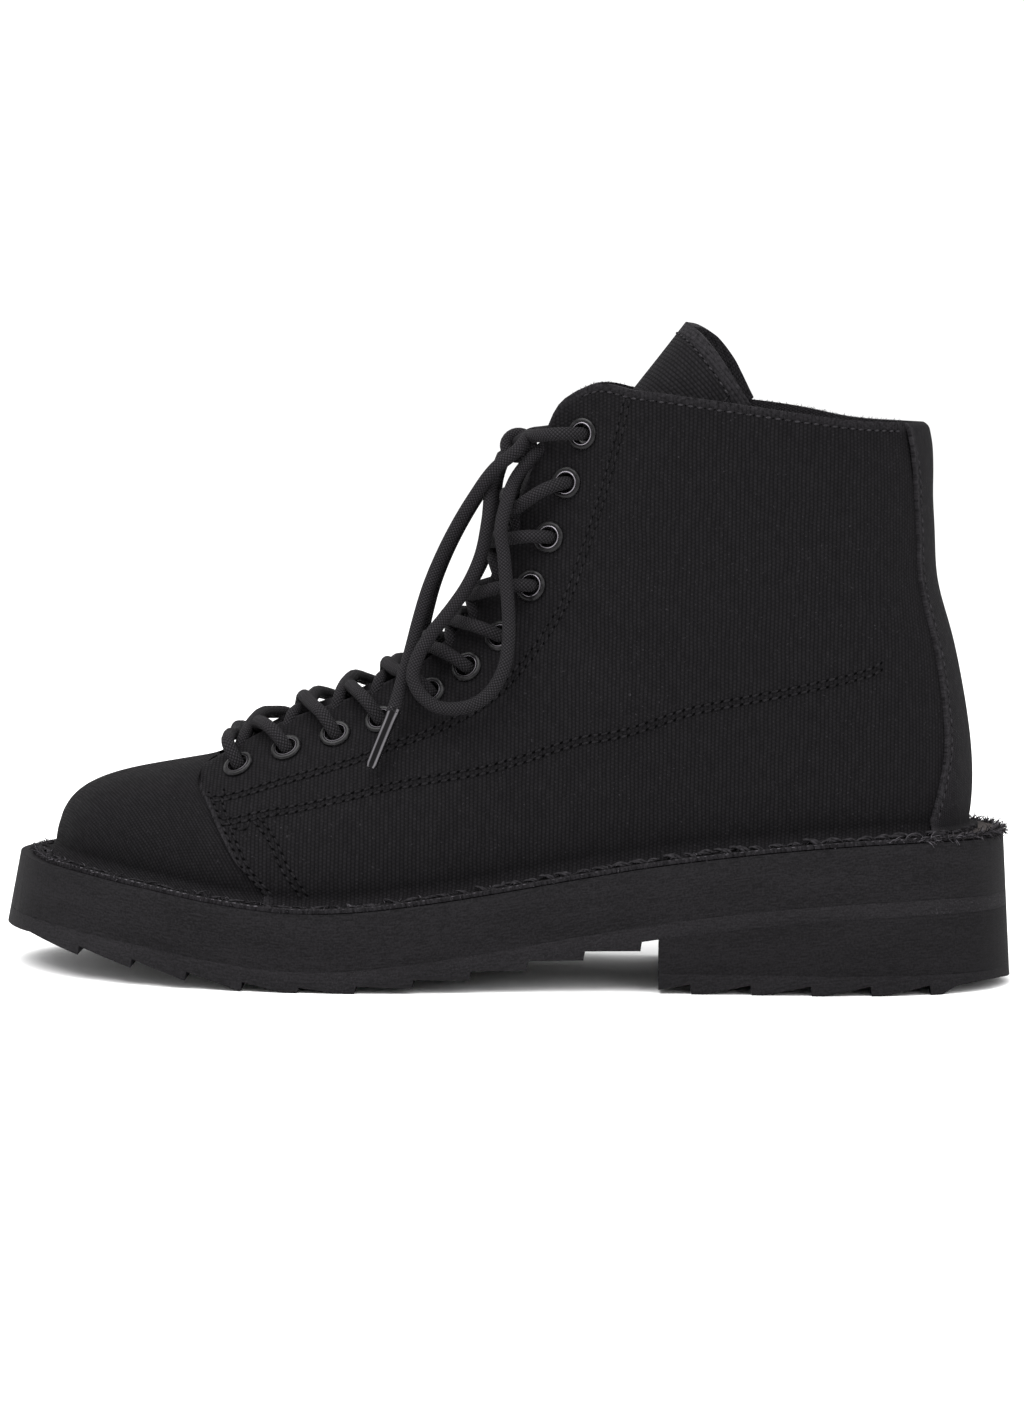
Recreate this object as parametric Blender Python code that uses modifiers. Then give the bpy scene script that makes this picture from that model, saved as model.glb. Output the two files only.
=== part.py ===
# Canvas lace-to-toe ankle boot, left foot, with a stitched-down edge and a saw-tooth sole.
# Frame: metres, +Z up, floor at Z = 0, toe towards -X, outer side of the foot towards -Y.

import math

import bmesh
import bpy
import numpy as np
from mathutils import Vector

NAME = "canvas_lace_boot"
MM = 0.001
GAP = 0.3
OUTER = -1
INNER = 1

# Sole sizes, in millimetres. The rim is the top edge of the midsole's side.
RIM_LENGTH = 291.0
RIM_HEEL_X = 146.3
BALL_WIDTH = 104.0
TOE_SHIFT = 5.0
LEAN_START_X = 40.0
MIDSOLE_THICKNESS = 16.4
OUTSOLE_BASE = 4.2
HEEL_BREAST_X = 45.5
TOP_PIECE = 5.6
FAR_X = 170.0
FLARE_TOE = 0.18
FLARE_HEEL = 0.05
TOOTH_PITCH = 16.25
TOOTH_DEPTH = 2.6
FIRST_TOOTH_X = 40.2
TOOTH_COUNT = 11
HEEL_TOOTH_PITCH = 17.0
HEEL_TOOTH_X = 55.0
HEEL_TOOTH_LAND = 4.5
HEEL_TOOTH_RISE = 2.0
HEEL_TOOTH_START = 1.2
TOOTH_STEP = 0.4
HEEL_TOOTH_COUNT = 5

# Upper sizes.
WALL = 2.0
QUARTER_STEP = 1.0
WELT_SIDE = 8.5
WELT_TOE = 11.2
WELT_HEEL = 13.0
WELT_EDGE = 0.8
BACKSTAY_THICKNESS = 1.2
TONGUE_THICKNESS = 2.4
TONGUE_GAP = 0.8
INSOLE_THICKNESS = 3.0
INSOLE_CLEARANCE = 1.5

# Eyelet and lace sizes.
EYELET_FLANGE = 3.9
EYELET_BORE = 2.35
EYELET_BARREL = 2.75
EYELET_RIM = 0.9
EYELET_CHAMFER = 0.4
EYELET_STEPS = 8
LACE_RADIUS = 2.25
LACE_SIDES = 2
LACE_CLEARANCE = 1.4
LACE_RISE = QUARTER_STEP + GAP + EYELET_RIM + LACE_CLEARANCE + LACE_RADIUS
LACE_EDGE_RISE = QUARTER_STEP + LACE_CLEARANCE + LACE_RADIUS
LACE_MIDDLE_RISE = 1.7

# Rim of the sole: share of its length from the heel, half widths as shares of the ball width.
SOLE_STATIONS = [
    # share, outer, inner
    (0.025, 0.188, 0.188),
    (0.081, 0.303, 0.300),
    (0.161, 0.360, 0.350),
    (0.265, 0.375, 0.346),
    (0.376, 0.388, 0.337),
    (0.480, 0.421, 0.365),
    (0.577, 0.473, 0.420),
    (0.668, 0.5015, 0.477),
    (0.758, 0.493, 0.500),
    (0.848, 0.444, 0.462),
    (0.921, 0.344, 0.384),
    (0.973, 0.200, 0.262),
]

# Height of the rim above the floor along the sole.
RIM_HEIGHTS = [
    # share, height
    (0.00, 44.2),
    (0.07, 44.2),
    (0.17, 42.8),
    (0.265, 39.9),
    (0.355, 36.3),
    (0.425, 32.8),
    (0.50, 28.9),
    (0.58, 25.3),
    (0.66, 22.8),
    (0.71, 22.6),
    (0.78, 24.6),
    (0.85, 27.9),
    (0.92, 30.8),
    (1.00, 33.2),
]

# Ribs of the last: share of the way from heel to toe round the feather line, swell and rise of the
# wall above it, then the place on the top edge and the handle that leads the wall into it.
RIBS = [
    # share, swell, rise, top_x, top_half, top_z, hand_x, hand_half, hand_z
    (0.000, 5.5, 30.0, 118.8, 0.0, 162.4, -0.1, 0.0, -57.0),
    (0.058, 4.5, 29.0, 113.8, 14.0, 163.1, 0.2, 0.5, -53.0),
    (0.130, 4.0, 28.5, 100.0, 27.0, 164.3, 0.7, -0.5, -48.0),
    (0.200, 3.8, 28.0, 85.5, 32.3, 166.3, 0.7, -1.5, -46.0),
    (0.290, 3.5, 30.0, 57.4, 34.5, 170.0, 0.7, -2.0, -48.0),
    (0.350, 3.5, 32.0, 36.4, 31.5, 172.4, 3.7, 1.0, -46.0),
    (0.390, 3.5, 33.0, 22.4, 22.5, 173.2, 8.6, 7.0, -42.0),
    (0.410, 3.5, 33.0, 13.9, 18.2, 167.6, 11.5, 9.0, -36.0),
    (0.432, 3.5, 32.0, 8.1, 17.0, 152.6, 10.4, 9.5, -26.0),
    (0.465, 3.5, 31.0, 0.4, 16.5, 131.9, 9.3, 10.0, -20.0),
    (0.507, 3.5, 30.0, -7.2, 16.5, 112.3, 7.2, 11.0, -15.0),
    (0.555, 3.5, 29.0, -19.4, 16.5, 95.9, 2.7, 12.0, -11.0),
    (0.612, 3.5, 27.0, -41.2, 16.0, 82.5, 0.1, 13.0, -9.0),
    (0.665, 3.0, 25.0, -66.6, 15.0, 72.6, -3.0, 14.0, -7.5),
    (0.705, 3.0, 21.5, -83.9, 13.5, 62.6, -6.0, 14.0, -4.6),
    (0.780, 2.5, 20.5, -87.4, 10.0, 62.1, -6.0, 22.0, -4.2),
    (0.870, 2.0, 20.0, -89.4, 6.0, 61.7, -20.0, 17.0, -4.1),
    (0.940, 1.5, 19.5, -90.2, 2.8, 61.4, -28.5, 8.0, -4.3),
    (1.000, 1.2, 19.5, -90.4, 0.0, 61.4, -30.5, 0.0, -4.3),
]
RIB_SPACING = 0.041
UP_STEPS = (0.06, 0.16, 0.27, 0.38, 0.49, 0.60, 0.70, 0.80, 0.90, 1.0)
SEAM_SHARE = 0.705
SEAM_RAMP = 0.007
SEAM_REACH = 0.125

# Front edge of the quarters over the toe panel: its share at heights up the ribs.
TOE_SEAM = [
    # up, share
    (0.00, 0.706),
    (0.14, 0.728),
    (0.30, 0.735),
    (0.56, 0.738),
    (0.76, 0.750),
    (0.89, 0.745),
    (1.00, 0.708),
]
BACKSTAY_SHARE = 0.058
FACING_START = 0.690
FACING_END = 0.424

# Seats of the eyelets from toe to collar: share round the foot and height up the rib.
EYELETS = [
    # share, up
    (0.688, 0.764),
    (0.659, 0.751),
    (0.630, 0.754),
    (0.601, 0.749),
    (0.564, 0.773),
    (0.532, 0.768),
    (0.497, 0.752),
    (0.4575, 0.749),
    (0.4365, 0.785),
    (0.416, 0.834),
    (0.3985, 0.905),
]

# Rows of the tongue under the toe panel and above the facings: middle of the row, half width, and how
# far its sides fall back and down.
TONGUE_FRONT = [
    # x, z, half, back, drop
    (-99.9, 57.0, 16.0, 3.0, 5.0),
    (-89.9, 58.4, 18.0, 3.0, 5.0),
]
TONGUE_ROWS = [
    # x, z, half, back, drop
    (25.6, 160.1, 25.5, 22.0, 8.0),
    (35.4, 173.2, 27.0, 26.0, 13.0),
    (43.2, 183.4, 27.0, 22.0, 18.0),
    (50.1, 192.5, 26.5, 18.0, 24.0),
]
THROAT_CROWN = 0.4
TONGUE_UPS = (0.8, 0.87, 0.94, 1.0)

# Bow: half sizes of the knot, then routes from it as distances along, out from the middle line and up.
KNOT_PLACE = (0.0, 1.1, 157.5)
KNOT_HALF = (5.4, 7.0, 5.0)
AGLET_RADIUS = 1.9
PUNCH_LENGTH = 16.0
LOOP_ROUTE = [
    # along, out, up
    (-3.2, 7.4, 153.9),
    (-2.6, 20.0, 148.5),
    (-2.8, 27.5, 139.7),
    (-2.2, 30.0, 128.4),
    (-1.2, 31.5, 117.0),
    (0.0, 33.0, 105.7),
    (0.6, 36.5, 95.9),
    (-1.5, 38.0, 87.6),
    (-7.0, 38.0, 82.5),
    (-14.2, 37.5, 80.7),
    (-21.4, 37.0, 82.5),
    (-25.7, 36.0, 88.4),
    (-25.4, 33.5, 95.2),
    (-22.2, 31.0, 101.7),
    (-16.8, 28.0, 109.4),
    (-11.9, 25.5, 118.0),
    (-8.5, 24.0, 126.5),
    (-7.5, 23.0, 136.4),
    (-8.0, 17.5, 147.5),
    (-5.2, 6.8, 159.6),
]
END_ROUTE = [
    # along, out, up
    (-5.6, 3.0, 153.4),
    (-6.0, 6.0, 146.5),
    (-10.6, 9.0, 139.4),
    (-16.1, 12.0, 130.7),
    (-20.2, 15.5, 122.0),
    (-23.3, 19.0, 113.5),
    (-25.4, 22.5, 105.0),
    (-27.3, 27.0, 96.7),
    (-28.9, 31.0, 89.8),
    (-30.8, 34.5, 82.9),
    (-32.0, 37.0, 78.8),
]
AGLET_ROUTE = [
    # along, out, up
    (-32.2, 37.3, 78.2),
    (-35.2, 39.3, 71.0),
    (-38.0, 41.0, 63.6),
]


def hermite(places, values, at):
    """Value at a place on a smooth curve through values that stand at rising places."""
    at = min(max(at, places[0]), places[-1])
    steps = np.diff(places)
    slopes = np.diff(values, axis=0) / steps[:, None]
    before = steps[:-1, None]
    after = steps[1:, None]
    inner = (slopes[1:] * before + slopes[:-1] * after) / (before + after)
    turns = np.vstack([slopes[:1], inner, slopes[-1:]])
    i = min(int(np.searchsorted(places, at, side="right")) - 1, len(steps) - 1)
    t = (at - places[i]) / steps[i]
    start = (1 + 2 * t) * (1 - t) ** 2 * values[i] + t * (1 - t) ** 2 * steps[i] * turns[i]
    end = t * t * (3 - 2 * t) * values[i + 1] + t * t * (t - 1) * steps[i] * turns[i + 1]
    return start + end


def table_at(table, place):
    """The other columns of a table at a place in its first column."""
    rows = np.array(table)
    return hermite(rows[:, 0], rows[:, 1:], place)


def smooth_route(points, count):
    """Evenly spaced points on a smooth curve through a route's own points."""
    points = np.array(points, float)
    places = np.concatenate([[0.0], np.cumsum(np.linalg.norm(np.diff(points, axis=0), axis=1))])
    dense = np.array([hermite(places, points, at) for at in np.linspace(0, places[-1], count * 8)])
    return even(dense, count)


def even(dense, count):
    """A dense line again, with evenly spaced points."""
    along = np.concatenate([[0.0], np.cumsum(np.linalg.norm(np.diff(dense, axis=0), axis=1))])
    at = np.linspace(0, along[-1], count)
    return np.stack([np.interp(at, along, dense[:, k]) for k in range(dense.shape[1])], axis=1)


def rim_x(share):
    return RIM_HEEL_X - share * RIM_LENGTH


def rim_height(x):
    return float(table_at(RIM_HEIGHTS, (RIM_HEEL_X - x) / RIM_LENGTH)[0])


def middle_y(x):
    """The middle line of the foot, which leans inward towards the toe."""
    lean = min(max((LEAN_START_X - x) / (LEAN_START_X - rim_x(1.0)), 0.0), 1.0)
    return TOE_SHIFT * lean


def sole_rim():
    """Two dense halves of the rim from heel to toe, each with its outward normals."""
    heel = (rim_x(0.0), 0.0)
    toe = (rim_x(1.0), TOE_SHIFT)
    outer = [(rim_x(share), OUTER * half * BALL_WIDTH) for share, half, _ in SOLE_STATIONS]
    inner = [(rim_x(share), INNER * half * BALL_WIDTH) for share, _, half in SOLE_STATIONS]
    loop = np.array([heel, *outer, toe, *reversed(inner)])
    padded = np.vstack([loop[-3:], loop, loop[:4]])
    places = np.concatenate([[0.0], np.cumsum(np.linalg.norm(np.diff(padded, axis=0), axis=1))])
    halves = []
    for start, end in ((3, 3 + len(outer) + 1), (3 + len(outer) + 1, 3 + len(loop))):
        ats = np.linspace(places[start], places[end], 400)
        halves.append(np.array([hermite(places, padded, at) for at in ats]))
    halves[1] = halves[1][::-1]
    return dict(zip((OUTER, INNER), halves))


RIM = sole_rim()


def rim_normals(side):
    run = np.gradient(RIM[side], axis=0)
    run /= np.linalg.norm(run, axis=1)[:, None]
    out = np.stack([run[:, 1], -run[:, 0]], axis=1) * side
    out[0] = (1.0, 0.0)
    out[-1] = (-1.0, 0.0)
    return out


NORMALS = {side: rim_normals(side) for side in (OUTER, INNER)}


def welt_width(out_x):
    """How far the upper stands inside the rim: more at the toe and heel than at the sides."""
    end = WELT_HEEL if out_x > 0 else WELT_TOE
    return WELT_SIDE + (end - WELT_SIDE) * out_x * out_x


def feather_half(side, extra):
    """The line where the wall of the upper starts, from heel to toe, with normals, moved in by extra."""
    out = NORMALS[side]
    inset = np.array([welt_width(n[0]) for n in out]) + extra
    line = RIM[side] - out * inset[:, None]
    return even(np.hstack([line, out]), 400)


FEATHER = {side: feather_half(side, 0.0) for side in (OUTER, INNER)}


def half_at(half, share):
    at = share * (len(half) - 1)
    i = min(int(at), len(half) - 2)
    return half[i] + (half[i + 1] - half[i]) * (at - i)


def side_and_share(around):
    """Around runs 0 at the heel, 1 at the toe on the outer side, and back to 2 at the heel."""
    around = around % 2.0
    return (OUTER, around) if around <= 1.0 else (INNER, 2.0 - around)


def around_of(side, share):
    return share if side == OUTER else 2.0 - share


def rib_row(share):
    """The rib table's columns at a share, read as an even curve past heel and toe."""
    rows = np.array(RIBS)
    odd = np.array([1, 1, 1, 1, -1, 1, 1, -1, 1])
    before = rows[2:0:-1] * odd
    before[:, 0] = -rows[2:0:-1, 0]
    after = rows[-2:-4:-1] * odd
    after[:, 0] = 2.0 - rows[-2:-4:-1, 0]
    whole = np.vstack([before, rows, after])
    return hermite(whole[:, 0], whole[:, 1:], share)


def rib_points(around):
    """The four control points of one rib of the upper's outer face."""
    side, share = side_and_share(around)
    swell, rise, top_x, top_half, top_z, hand_x, hand_half, hand_z = rib_row(share)
    foot_x, foot_y, out_x, out_y = half_at(FEATHER[side], share)
    foot = np.array([foot_x, foot_y, rim_height(foot_x) + GAP + WALL])
    low = foot + np.array([out_x * swell, out_y * swell, rise])
    top = np.array([top_x, middle_y(top_x) + side * top_half, top_z])
    high = top + np.array([hand_x, side * hand_half, hand_z])
    return foot, low, high, top


def on_rib(around, up):
    foot, low, high, top = rib_points(around)
    down = 1.0 - up
    return down ** 3 * foot + 3 * down * down * up * low + 3 * down * up * up * high + up ** 3 * top


def face_normal(around, up):
    """Outward normal of the upper's outer face."""
    ahead = 0.012
    low_up = min(max(up, 0.02), 0.98)
    run = on_rib(around + ahead, low_up) - on_rib(around - ahead, low_up)
    climb = on_rib(around, low_up + 0.02) - on_rib(around, low_up - 0.02)
    normal = np.cross(climb, run)
    return normal / np.linalg.norm(normal)


def skin(around, up, raised=0.0):
    """A point over the upper's outer face: around the foot, up the wall, raised off it."""
    return on_rib(around, up) + face_normal(around, up) * raised


def material(name, colour, roughness, metallic=0.0):
    made = bpy.data.materials.new(name)
    made.use_nodes = True
    shader = made.node_tree.nodes["Principled BSDF"]
    shader.inputs["Base Color"].default_value = (*colour, 1.0)
    shader.inputs["Roughness"].default_value = roughness
    shader.inputs["Metallic"].default_value = metallic
    return made


def mesh_object(name, collection, points, faces, finish=None):
    mesh = bpy.data.meshes.new(name)
    mesh.from_pydata([tuple(p * MM) for p in np.array(points, float)], [], faces)
    mesh.update()
    made = bpy.data.objects.new(name, mesh)
    collection.objects.link(made)
    if finish:
        mesh.materials.append(finish)
    return made


def grid_faces(rows, columns, closed):
    """Quads of a grid of points that is stored row by row."""
    last = columns if closed else columns - 1
    faces = []
    for r in range(rows - 1):
        for c in range(last):
            n = (c + 1) % columns
            faces.append((r * columns + c, (r + 1) * columns + c, (r + 1) * columns + n, r * columns + n))
    return faces


def face_outward(made):
    shape = bmesh.new()
    shape.from_mesh(made.data)
    bmesh.ops.recalc_face_normals(shape, faces=shape.faces)
    shape.to_mesh(made.data)
    shape.free()
    return made


def smooth(made):
    made.data.polygons.foreach_set("use_smooth", [True] * len(made.data.polygons))


def solidify(made, thickness, outward):
    shell = made.modifiers.new("wall", "SOLIDIFY")
    shell.thickness = thickness * MM
    shell.offset = 1.0 if outward else -1.0
    return shell


def boolean(made, tool, operation):
    cut = made.modifiers.new(operation.lower(), "BOOLEAN")
    cut.operation = operation
    cut.solver = "EXACT"
    cut.object = tool
    return cut


def rib_places():
    """Places of the ribs: each row of the table, one between far rows, and a pair at each toe seam."""
    shares = [row[0] for row in RIBS]
    half = []
    for a, b in zip(shares[:-1], shares[1:]):
        half += [a, (a + b) / 2] if b - a > RIB_SPACING else [a]
    half.append(1.0)
    half.append(SEAM_SHARE + SEAM_RAMP)
    half = sorted(set(half))
    return half + [2.0 - share for share in reversed(half[1:-1])]


def leant(around, up):
    """Moves a place near the toe seam, so that the seam's own rib follows the edge of the quarters."""
    side, share = side_and_share(around)
    shift = float(table_at(TOE_SEAM, up)[0]) - SEAM_SHARE
    near = max(0.0, 1.0 - abs(share - SEAM_SHARE) / SEAM_REACH)
    return around_of(side, share + shift * near)


def make_upper(collection, finish):
    """The hollow shell: turned-out edge, wall, facings and collar, with the quarters a step thicker."""
    places = rib_places()
    edge = []
    corner = []
    for around in places:
        side, share = side_and_share(around)
        x, y, out_x, out_y = half_at(FEATHER[side], share)
        reach = welt_width(out_x) - WELT_EDGE
        height = rim_height(x) + GAP
        edge.append((x + out_x * reach, y + out_y * reach, rim_height(x + out_x * reach) + GAP))
        corner.append((x - out_x * WALL, y - out_y * WALL, height))
    wall = [[skin(leant(around, up), up, -WALL) for around in places] for up in UP_STEPS]
    rows = [edge, corner, *wall]
    points = [p for row in rows for p in row]
    made = mesh_object("upper", collection, points, grid_faces(len(rows), len(places), True), finish)
    quarter = made.vertex_groups.new(name="quarter")
    behind = [i for i, around in enumerate(places) if side_and_share(around)[1] <= SEAM_SHARE]
    quarter.add([r * len(places) + i for r in range(2, len(rows)) for i in behind], 1.0, "REPLACE")
    shell = solidify(made, WALL + QUARTER_STEP, True)
    shell.vertex_group = quarter.name
    shell.thickness_vertex_group = WALL / (WALL + QUARTER_STEP)
    smooth(made)
    return made


def make_backstay(collection, finish):
    """The strip over the heel seam, laid on the quarters' own face."""
    places = [a for a in rib_places() if side_and_share(a)[1] <= BACKSTAY_SHARE + 1e-6]
    places = [a for a in places if a > 1.0] + [a for a in places if a <= 1.0]
    points = [skin(around, up, QUARTER_STEP + GAP) for up in UP_STEPS for around in places]
    made = mesh_object("backstay", collection, points, grid_faces(len(UP_STEPS), len(places), False), finish)
    solidify(made, BACKSTAY_THICKNESS, True)
    smooth(made)
    return made


def facing_share(place):
    """Share at a place from the toe end of the facing, 0, to its top, 1, measured along its edge."""
    shares = np.linspace(FACING_START, FACING_END, 60)
    edge = np.array([on_rib(share, 1.0) for share in shares])
    along = np.concatenate([[0.0], np.cumsum(np.linalg.norm(np.diff(edge, axis=0), axis=1))])
    return float(np.interp(place * along[-1], along, shares))


def eyelet_seats():
    """Around and up of each eyelet, from the toe to the collar, for both facings."""
    seats = {}
    for side in (OUTER, INNER):
        for number, (share, up) in enumerate(EYELETS):
            seats[side, number] = (around_of(side, share), up)
    return seats


def edge_share(seat):
    """Share of the facing's edge that is nearest to an eyelet."""
    side = side_and_share(seat[0])[0]
    place = skin(*seat)
    shares = np.linspace(FACING_END, SEAM_SHARE, 90)
    reach = [np.linalg.norm(on_rib(around_of(side, share), 1.0) - place) for share in shares]
    return float(shares[int(np.argmin(reach))])


def across_throat(share, raised, steps):
    """Points over the gap between the facings, from the outer edge to the inner one."""
    ends = []
    for side in (OUTER, INNER):
        around = around_of(side, share)
        edge = skin(around, 1.0, raised)
        lead = on_rib(around, 1.0) - on_rib(around, 0.97)
        edge_run = on_rib(around + 0.01, 1.0) - on_rib(around - 0.01, 1.0)
        edge_run /= np.linalg.norm(edge_run)
        lead -= edge_run * (lead @ edge_run)
        ends.append((edge, lead / np.linalg.norm(lead)))
    (a, lead_a), (b, lead_b) = ends
    reach = np.linalg.norm(b - a) * THROAT_CROWN
    points = []
    for t in steps:
        start = (1 + 2 * t) * (1 - t) ** 2 * a + t * (1 - t) ** 2 * reach * lead_a
        end = t * t * (3 - 2 * t) * b - t * t * (t - 1) * reach * lead_b
        points.append(start + end)
    return points


def free_row(row, columns):
    """A row of the tongue that bends round from its middle to both sides."""
    x, z, half, back, drop = row
    points = []
    for turn in np.linspace(-90.0, 90.0, columns):
        fall = 1.0 - math.cos(math.radians(turn))
        points.append((x + back * fall, middle_y(x) + half * math.sin(math.radians(turn)), z - drop * fall))
    return points


def make_tongue(collection, finish):
    """The tongue: under the facings on the upper's own face, then free above them."""
    depth = -(WALL + TONGUE_GAP)
    rows = []
    for place in np.linspace(0.0, 0.93, 9):
        share = facing_share(place)
        outer = [skin(around_of(OUTER, share), up, depth) for up in TONGUE_UPS]
        inner = [skin(around_of(INNER, share), up, depth) for up in reversed(TONGUE_UPS)]
        rows.append([*outer, *across_throat(share, depth, (0.25, 0.5, 0.75)), *inner])
    columns = len(rows[0])
    rows = [free_row(row, columns) for row in TONGUE_FRONT] + rows
    rows += [free_row(row, columns) for row in TONGUE_ROWS]
    points = [p for row in rows for p in row]
    made = mesh_object("tongue", collection, points, grid_faces(len(rows), columns, False), finish)
    solidify(made, TONGUE_THICKNESS, False)
    smooth(made)
    return made


def turned_eyelet(name, collection, finish):
    """One eyelet, turned about Z: flange on the outside, barrel through the wall."""
    depth = QUARTER_STEP + GAP + WALL
    profile = [
        (EYELET_BORE, EYELET_RIM),
        (EYELET_FLANGE - EYELET_CHAMFER, EYELET_RIM),
        (EYELET_FLANGE, 0.0),
        (EYELET_BARREL, 0.0),
        (EYELET_BARREL, -depth),
        (EYELET_BORE, -depth),
    ]
    mesh = bpy.data.meshes.new(name)
    edges = [(i, (i + 1) % len(profile)) for i in range(len(profile))]
    mesh.from_pydata([(r * MM, 0.0, h * MM) for r, h in profile], edges, [])
    mesh.materials.append(finish)
    made = bpy.data.objects.new(name, mesh)
    collection.objects.link(made)
    turn = made.modifiers.new("turn", "SCREW")
    turn.steps = EYELET_STEPS
    turn.render_steps = EYELET_STEPS
    turn.use_merge_vertices = True
    turn.merge_threshold = 0.00001
    turn.use_smooth_shade = True
    return made


def make_eyelets(collection, finish):
    """Eleven eyelets on each facing, square to the upper's own face."""
    for (side, number), (around, up) in eyelet_seats().items():
        side_name = "outer" if side == OUTER else "inner"
        made = turned_eyelet(f"eyelet_{side_name}_{number + 1:02d}", collection, finish)
        made.location = Vector(skin(around, up, QUARTER_STEP + GAP)) * MM
        made.rotation_euler = Vector(face_normal(around, up)).to_track_quat("Z", "X").to_euler()


def eyelet_punch(collection):
    """The holes for the eyelets' barrels, as one set of round punches."""
    shape = bmesh.new()
    for around, up in eyelet_seats().values():
        turn = Vector(face_normal(around, up)).to_track_quat("Z", "X").to_matrix().to_4x4()
        turn.translation = Vector(skin(around, up)) * MM
        bmesh.ops.create_cone(
            shape,
            cap_ends=True,
            segments=EYELET_STEPS,
            radius1=(EYELET_BARREL + GAP) * MM,
            radius2=(EYELET_BARREL + GAP) * MM,
            depth=PUNCH_LENGTH * MM,
            matrix=turn,
        )
    mesh = bpy.data.meshes.new("eyelet_punch")
    shape.to_mesh(mesh)
    shape.free()
    made = bpy.data.objects.new("eyelet_punch", mesh)
    collection.objects.link(made)
    return made


def tube(name, collection, points, radius, finish=None):
    """A round cord along points, closed at both ends, as a mesh."""
    curve = bpy.data.curves.new(name, "CURVE")
    curve.dimensions = "3D"
    curve.bevel_depth = radius * MM
    curve.bevel_resolution = LACE_SIDES
    curve.use_fill_caps = True
    line = curve.splines.new("POLY")
    line.points.add(len(points) - 1)
    for point, place in zip(line.points, points):
        point.co = (*(Vector(place) * MM), 1.0)
    drawn = bpy.data.objects.new(name + "_line", curve)
    mesh = bpy.data.meshes.new_from_object(drawn)
    bpy.data.objects.remove(drawn)
    shape = bmesh.new()
    shape.from_mesh(mesh)
    bmesh.ops.remove_doubles(shape, verts=shape.verts, dist=0.00001)
    bmesh.ops.recalc_face_normals(shape, faces=shape.faces)
    shape.to_mesh(mesh)
    shape.free()
    mesh.name = name
    made = bpy.data.objects.new(name, mesh)
    collection.objects.link(made)
    if finish:
        mesh.materials.append(finish)
    smooth(made)
    return made


def strand(side, start, end):
    """A lace from an eyelet on one facing, over the throat, to an eyelet on the other."""
    seats = eyelet_seats()
    first = seats[side, start]
    last = seats[-side, end]
    share_a = edge_share(first)
    share_b = edge_share(last)
    near = share_a + (share_b - share_a) * 0.25
    middle = (share_a + share_b) / 2
    far = share_a + (share_b - share_a) * 0.75
    return [
        skin(*first, LACE_RISE),
        skin(around_of(side, near), 1.0, LACE_EDGE_RISE),
        across_throat(middle, LACE_MIDDLE_RISE, (0.5,))[0],
        skin(around_of(-side, far), 1.0, LACE_EDGE_RISE),
        skin(*last, LACE_RISE),
    ]


def join_all(made, strands):
    """Joins a collection of solids onto one solid."""
    join = made.modifiers.new("join", "BOOLEAN")
    join.operation = "UNION"
    join.solver = "EXACT"
    join.operand_type = "COLLECTION"
    join.collection = strands
    for tool in strands.objects:
        tool.hide_render = True
        tool.display_type = "WIRE"


def make_lace(collection, cutters, finish):
    """The bar at the toe and the crossings up to the last eyelets but one, joined into one solid."""
    bar = tube("lace", collection, strand(OUTER, 0, 0), LACE_RADIUS, finish)
    strands = bpy.data.collections.new("lace_strands")
    cutters.children.link(strands)
    for number in range(len(EYELETS) - 2):
        for side in (OUTER, INNER):
            tube(f"strand_{number}_{side}", strands, strand(side, number, number + 1), LACE_RADIUS)
    join_all(bar, strands)


def make_cords(collection, cutters, finish, aglet_finish):
    """The knot with its runs from the top eyelets, two loops and two ends, with an aglet on each end."""
    shape = bmesh.new()
    bmesh.ops.create_uvsphere(shape, u_segments=12, v_segments=8, radius=1.0)
    mesh = bpy.data.meshes.new("lace_knot")
    shape.to_mesh(mesh)
    shape.free()
    mesh.materials.append(finish)
    knot = bpy.data.objects.new("lace_knot", mesh)
    knot.location = Vector(KNOT_PLACE) * MM
    knot.scale = Vector(KNOT_HALF) * MM
    collection.objects.link(knot)
    smooth(knot)
    runs = bpy.data.collections.new("knot_runs")
    cutters.children.link(runs)
    for side in (OUTER, INNER):
        seat = eyelet_seats()[side, len(EYELETS) - 1]
        edge = skin(around_of(side, edge_share(seat)), 1.0, LACE_EDGE_RISE)
        tube(f"knot_run_{side}", runs, [skin(*seat, LACE_RISE), edge, KNOT_PLACE], LACE_RADIUS)
    join_all(knot, runs)
    for side, name in ((OUTER, "outer"), (INNER, "inner")):
        loop = [(x, middle_y(x) + side * y, z) for x, y, z in LOOP_ROUTE]
        end = [(x, middle_y(x) + side * y, z) for x, y, z in END_ROUTE]
        aglet = [(x, middle_y(x) + side * y, z) for x, y, z in AGLET_ROUTE]
        tube(f"lace_loop_{name}", collection, smooth_route(loop, 22), LACE_RADIUS, finish)
        tube(f"lace_end_{name}", collection, smooth_route(end, 12), LACE_RADIUS, finish)
        tube(f"aglet_{name}", collection, aglet, AGLET_RADIUS, aglet_finish)


def outline_prism(name, collection, inset_in, low, high, count):
    """A closed wall through the sole's outline, flared outward below the rim."""
    rings = []
    for z in (low, high):
        ring = []
        for side in (OUTER, INNER):
            half = even(np.hstack([RIM[side], NORMALS[side]]), count)
            half = half[:-1] if side == OUTER else half[:0:-1]
            for x, y, out_x, out_y in half:
                flare = (FLARE_HEEL if out_x > 0 else FLARE_TOE) * out_x * out_x
                grow = flare * (rim_height(x) - z) - inset_in(out_x)
                ring.append((x + out_x * grow, y + out_y * grow, z))
        rings.append(ring)
    around = len(rings[0])
    faces = grid_faces(2, around, True)
    faces += [tuple(reversed(range(around))), tuple(range(around, 2 * around))]
    return face_outward(mesh_object(name, collection, rings[0] + rings[1], faces))


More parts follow.
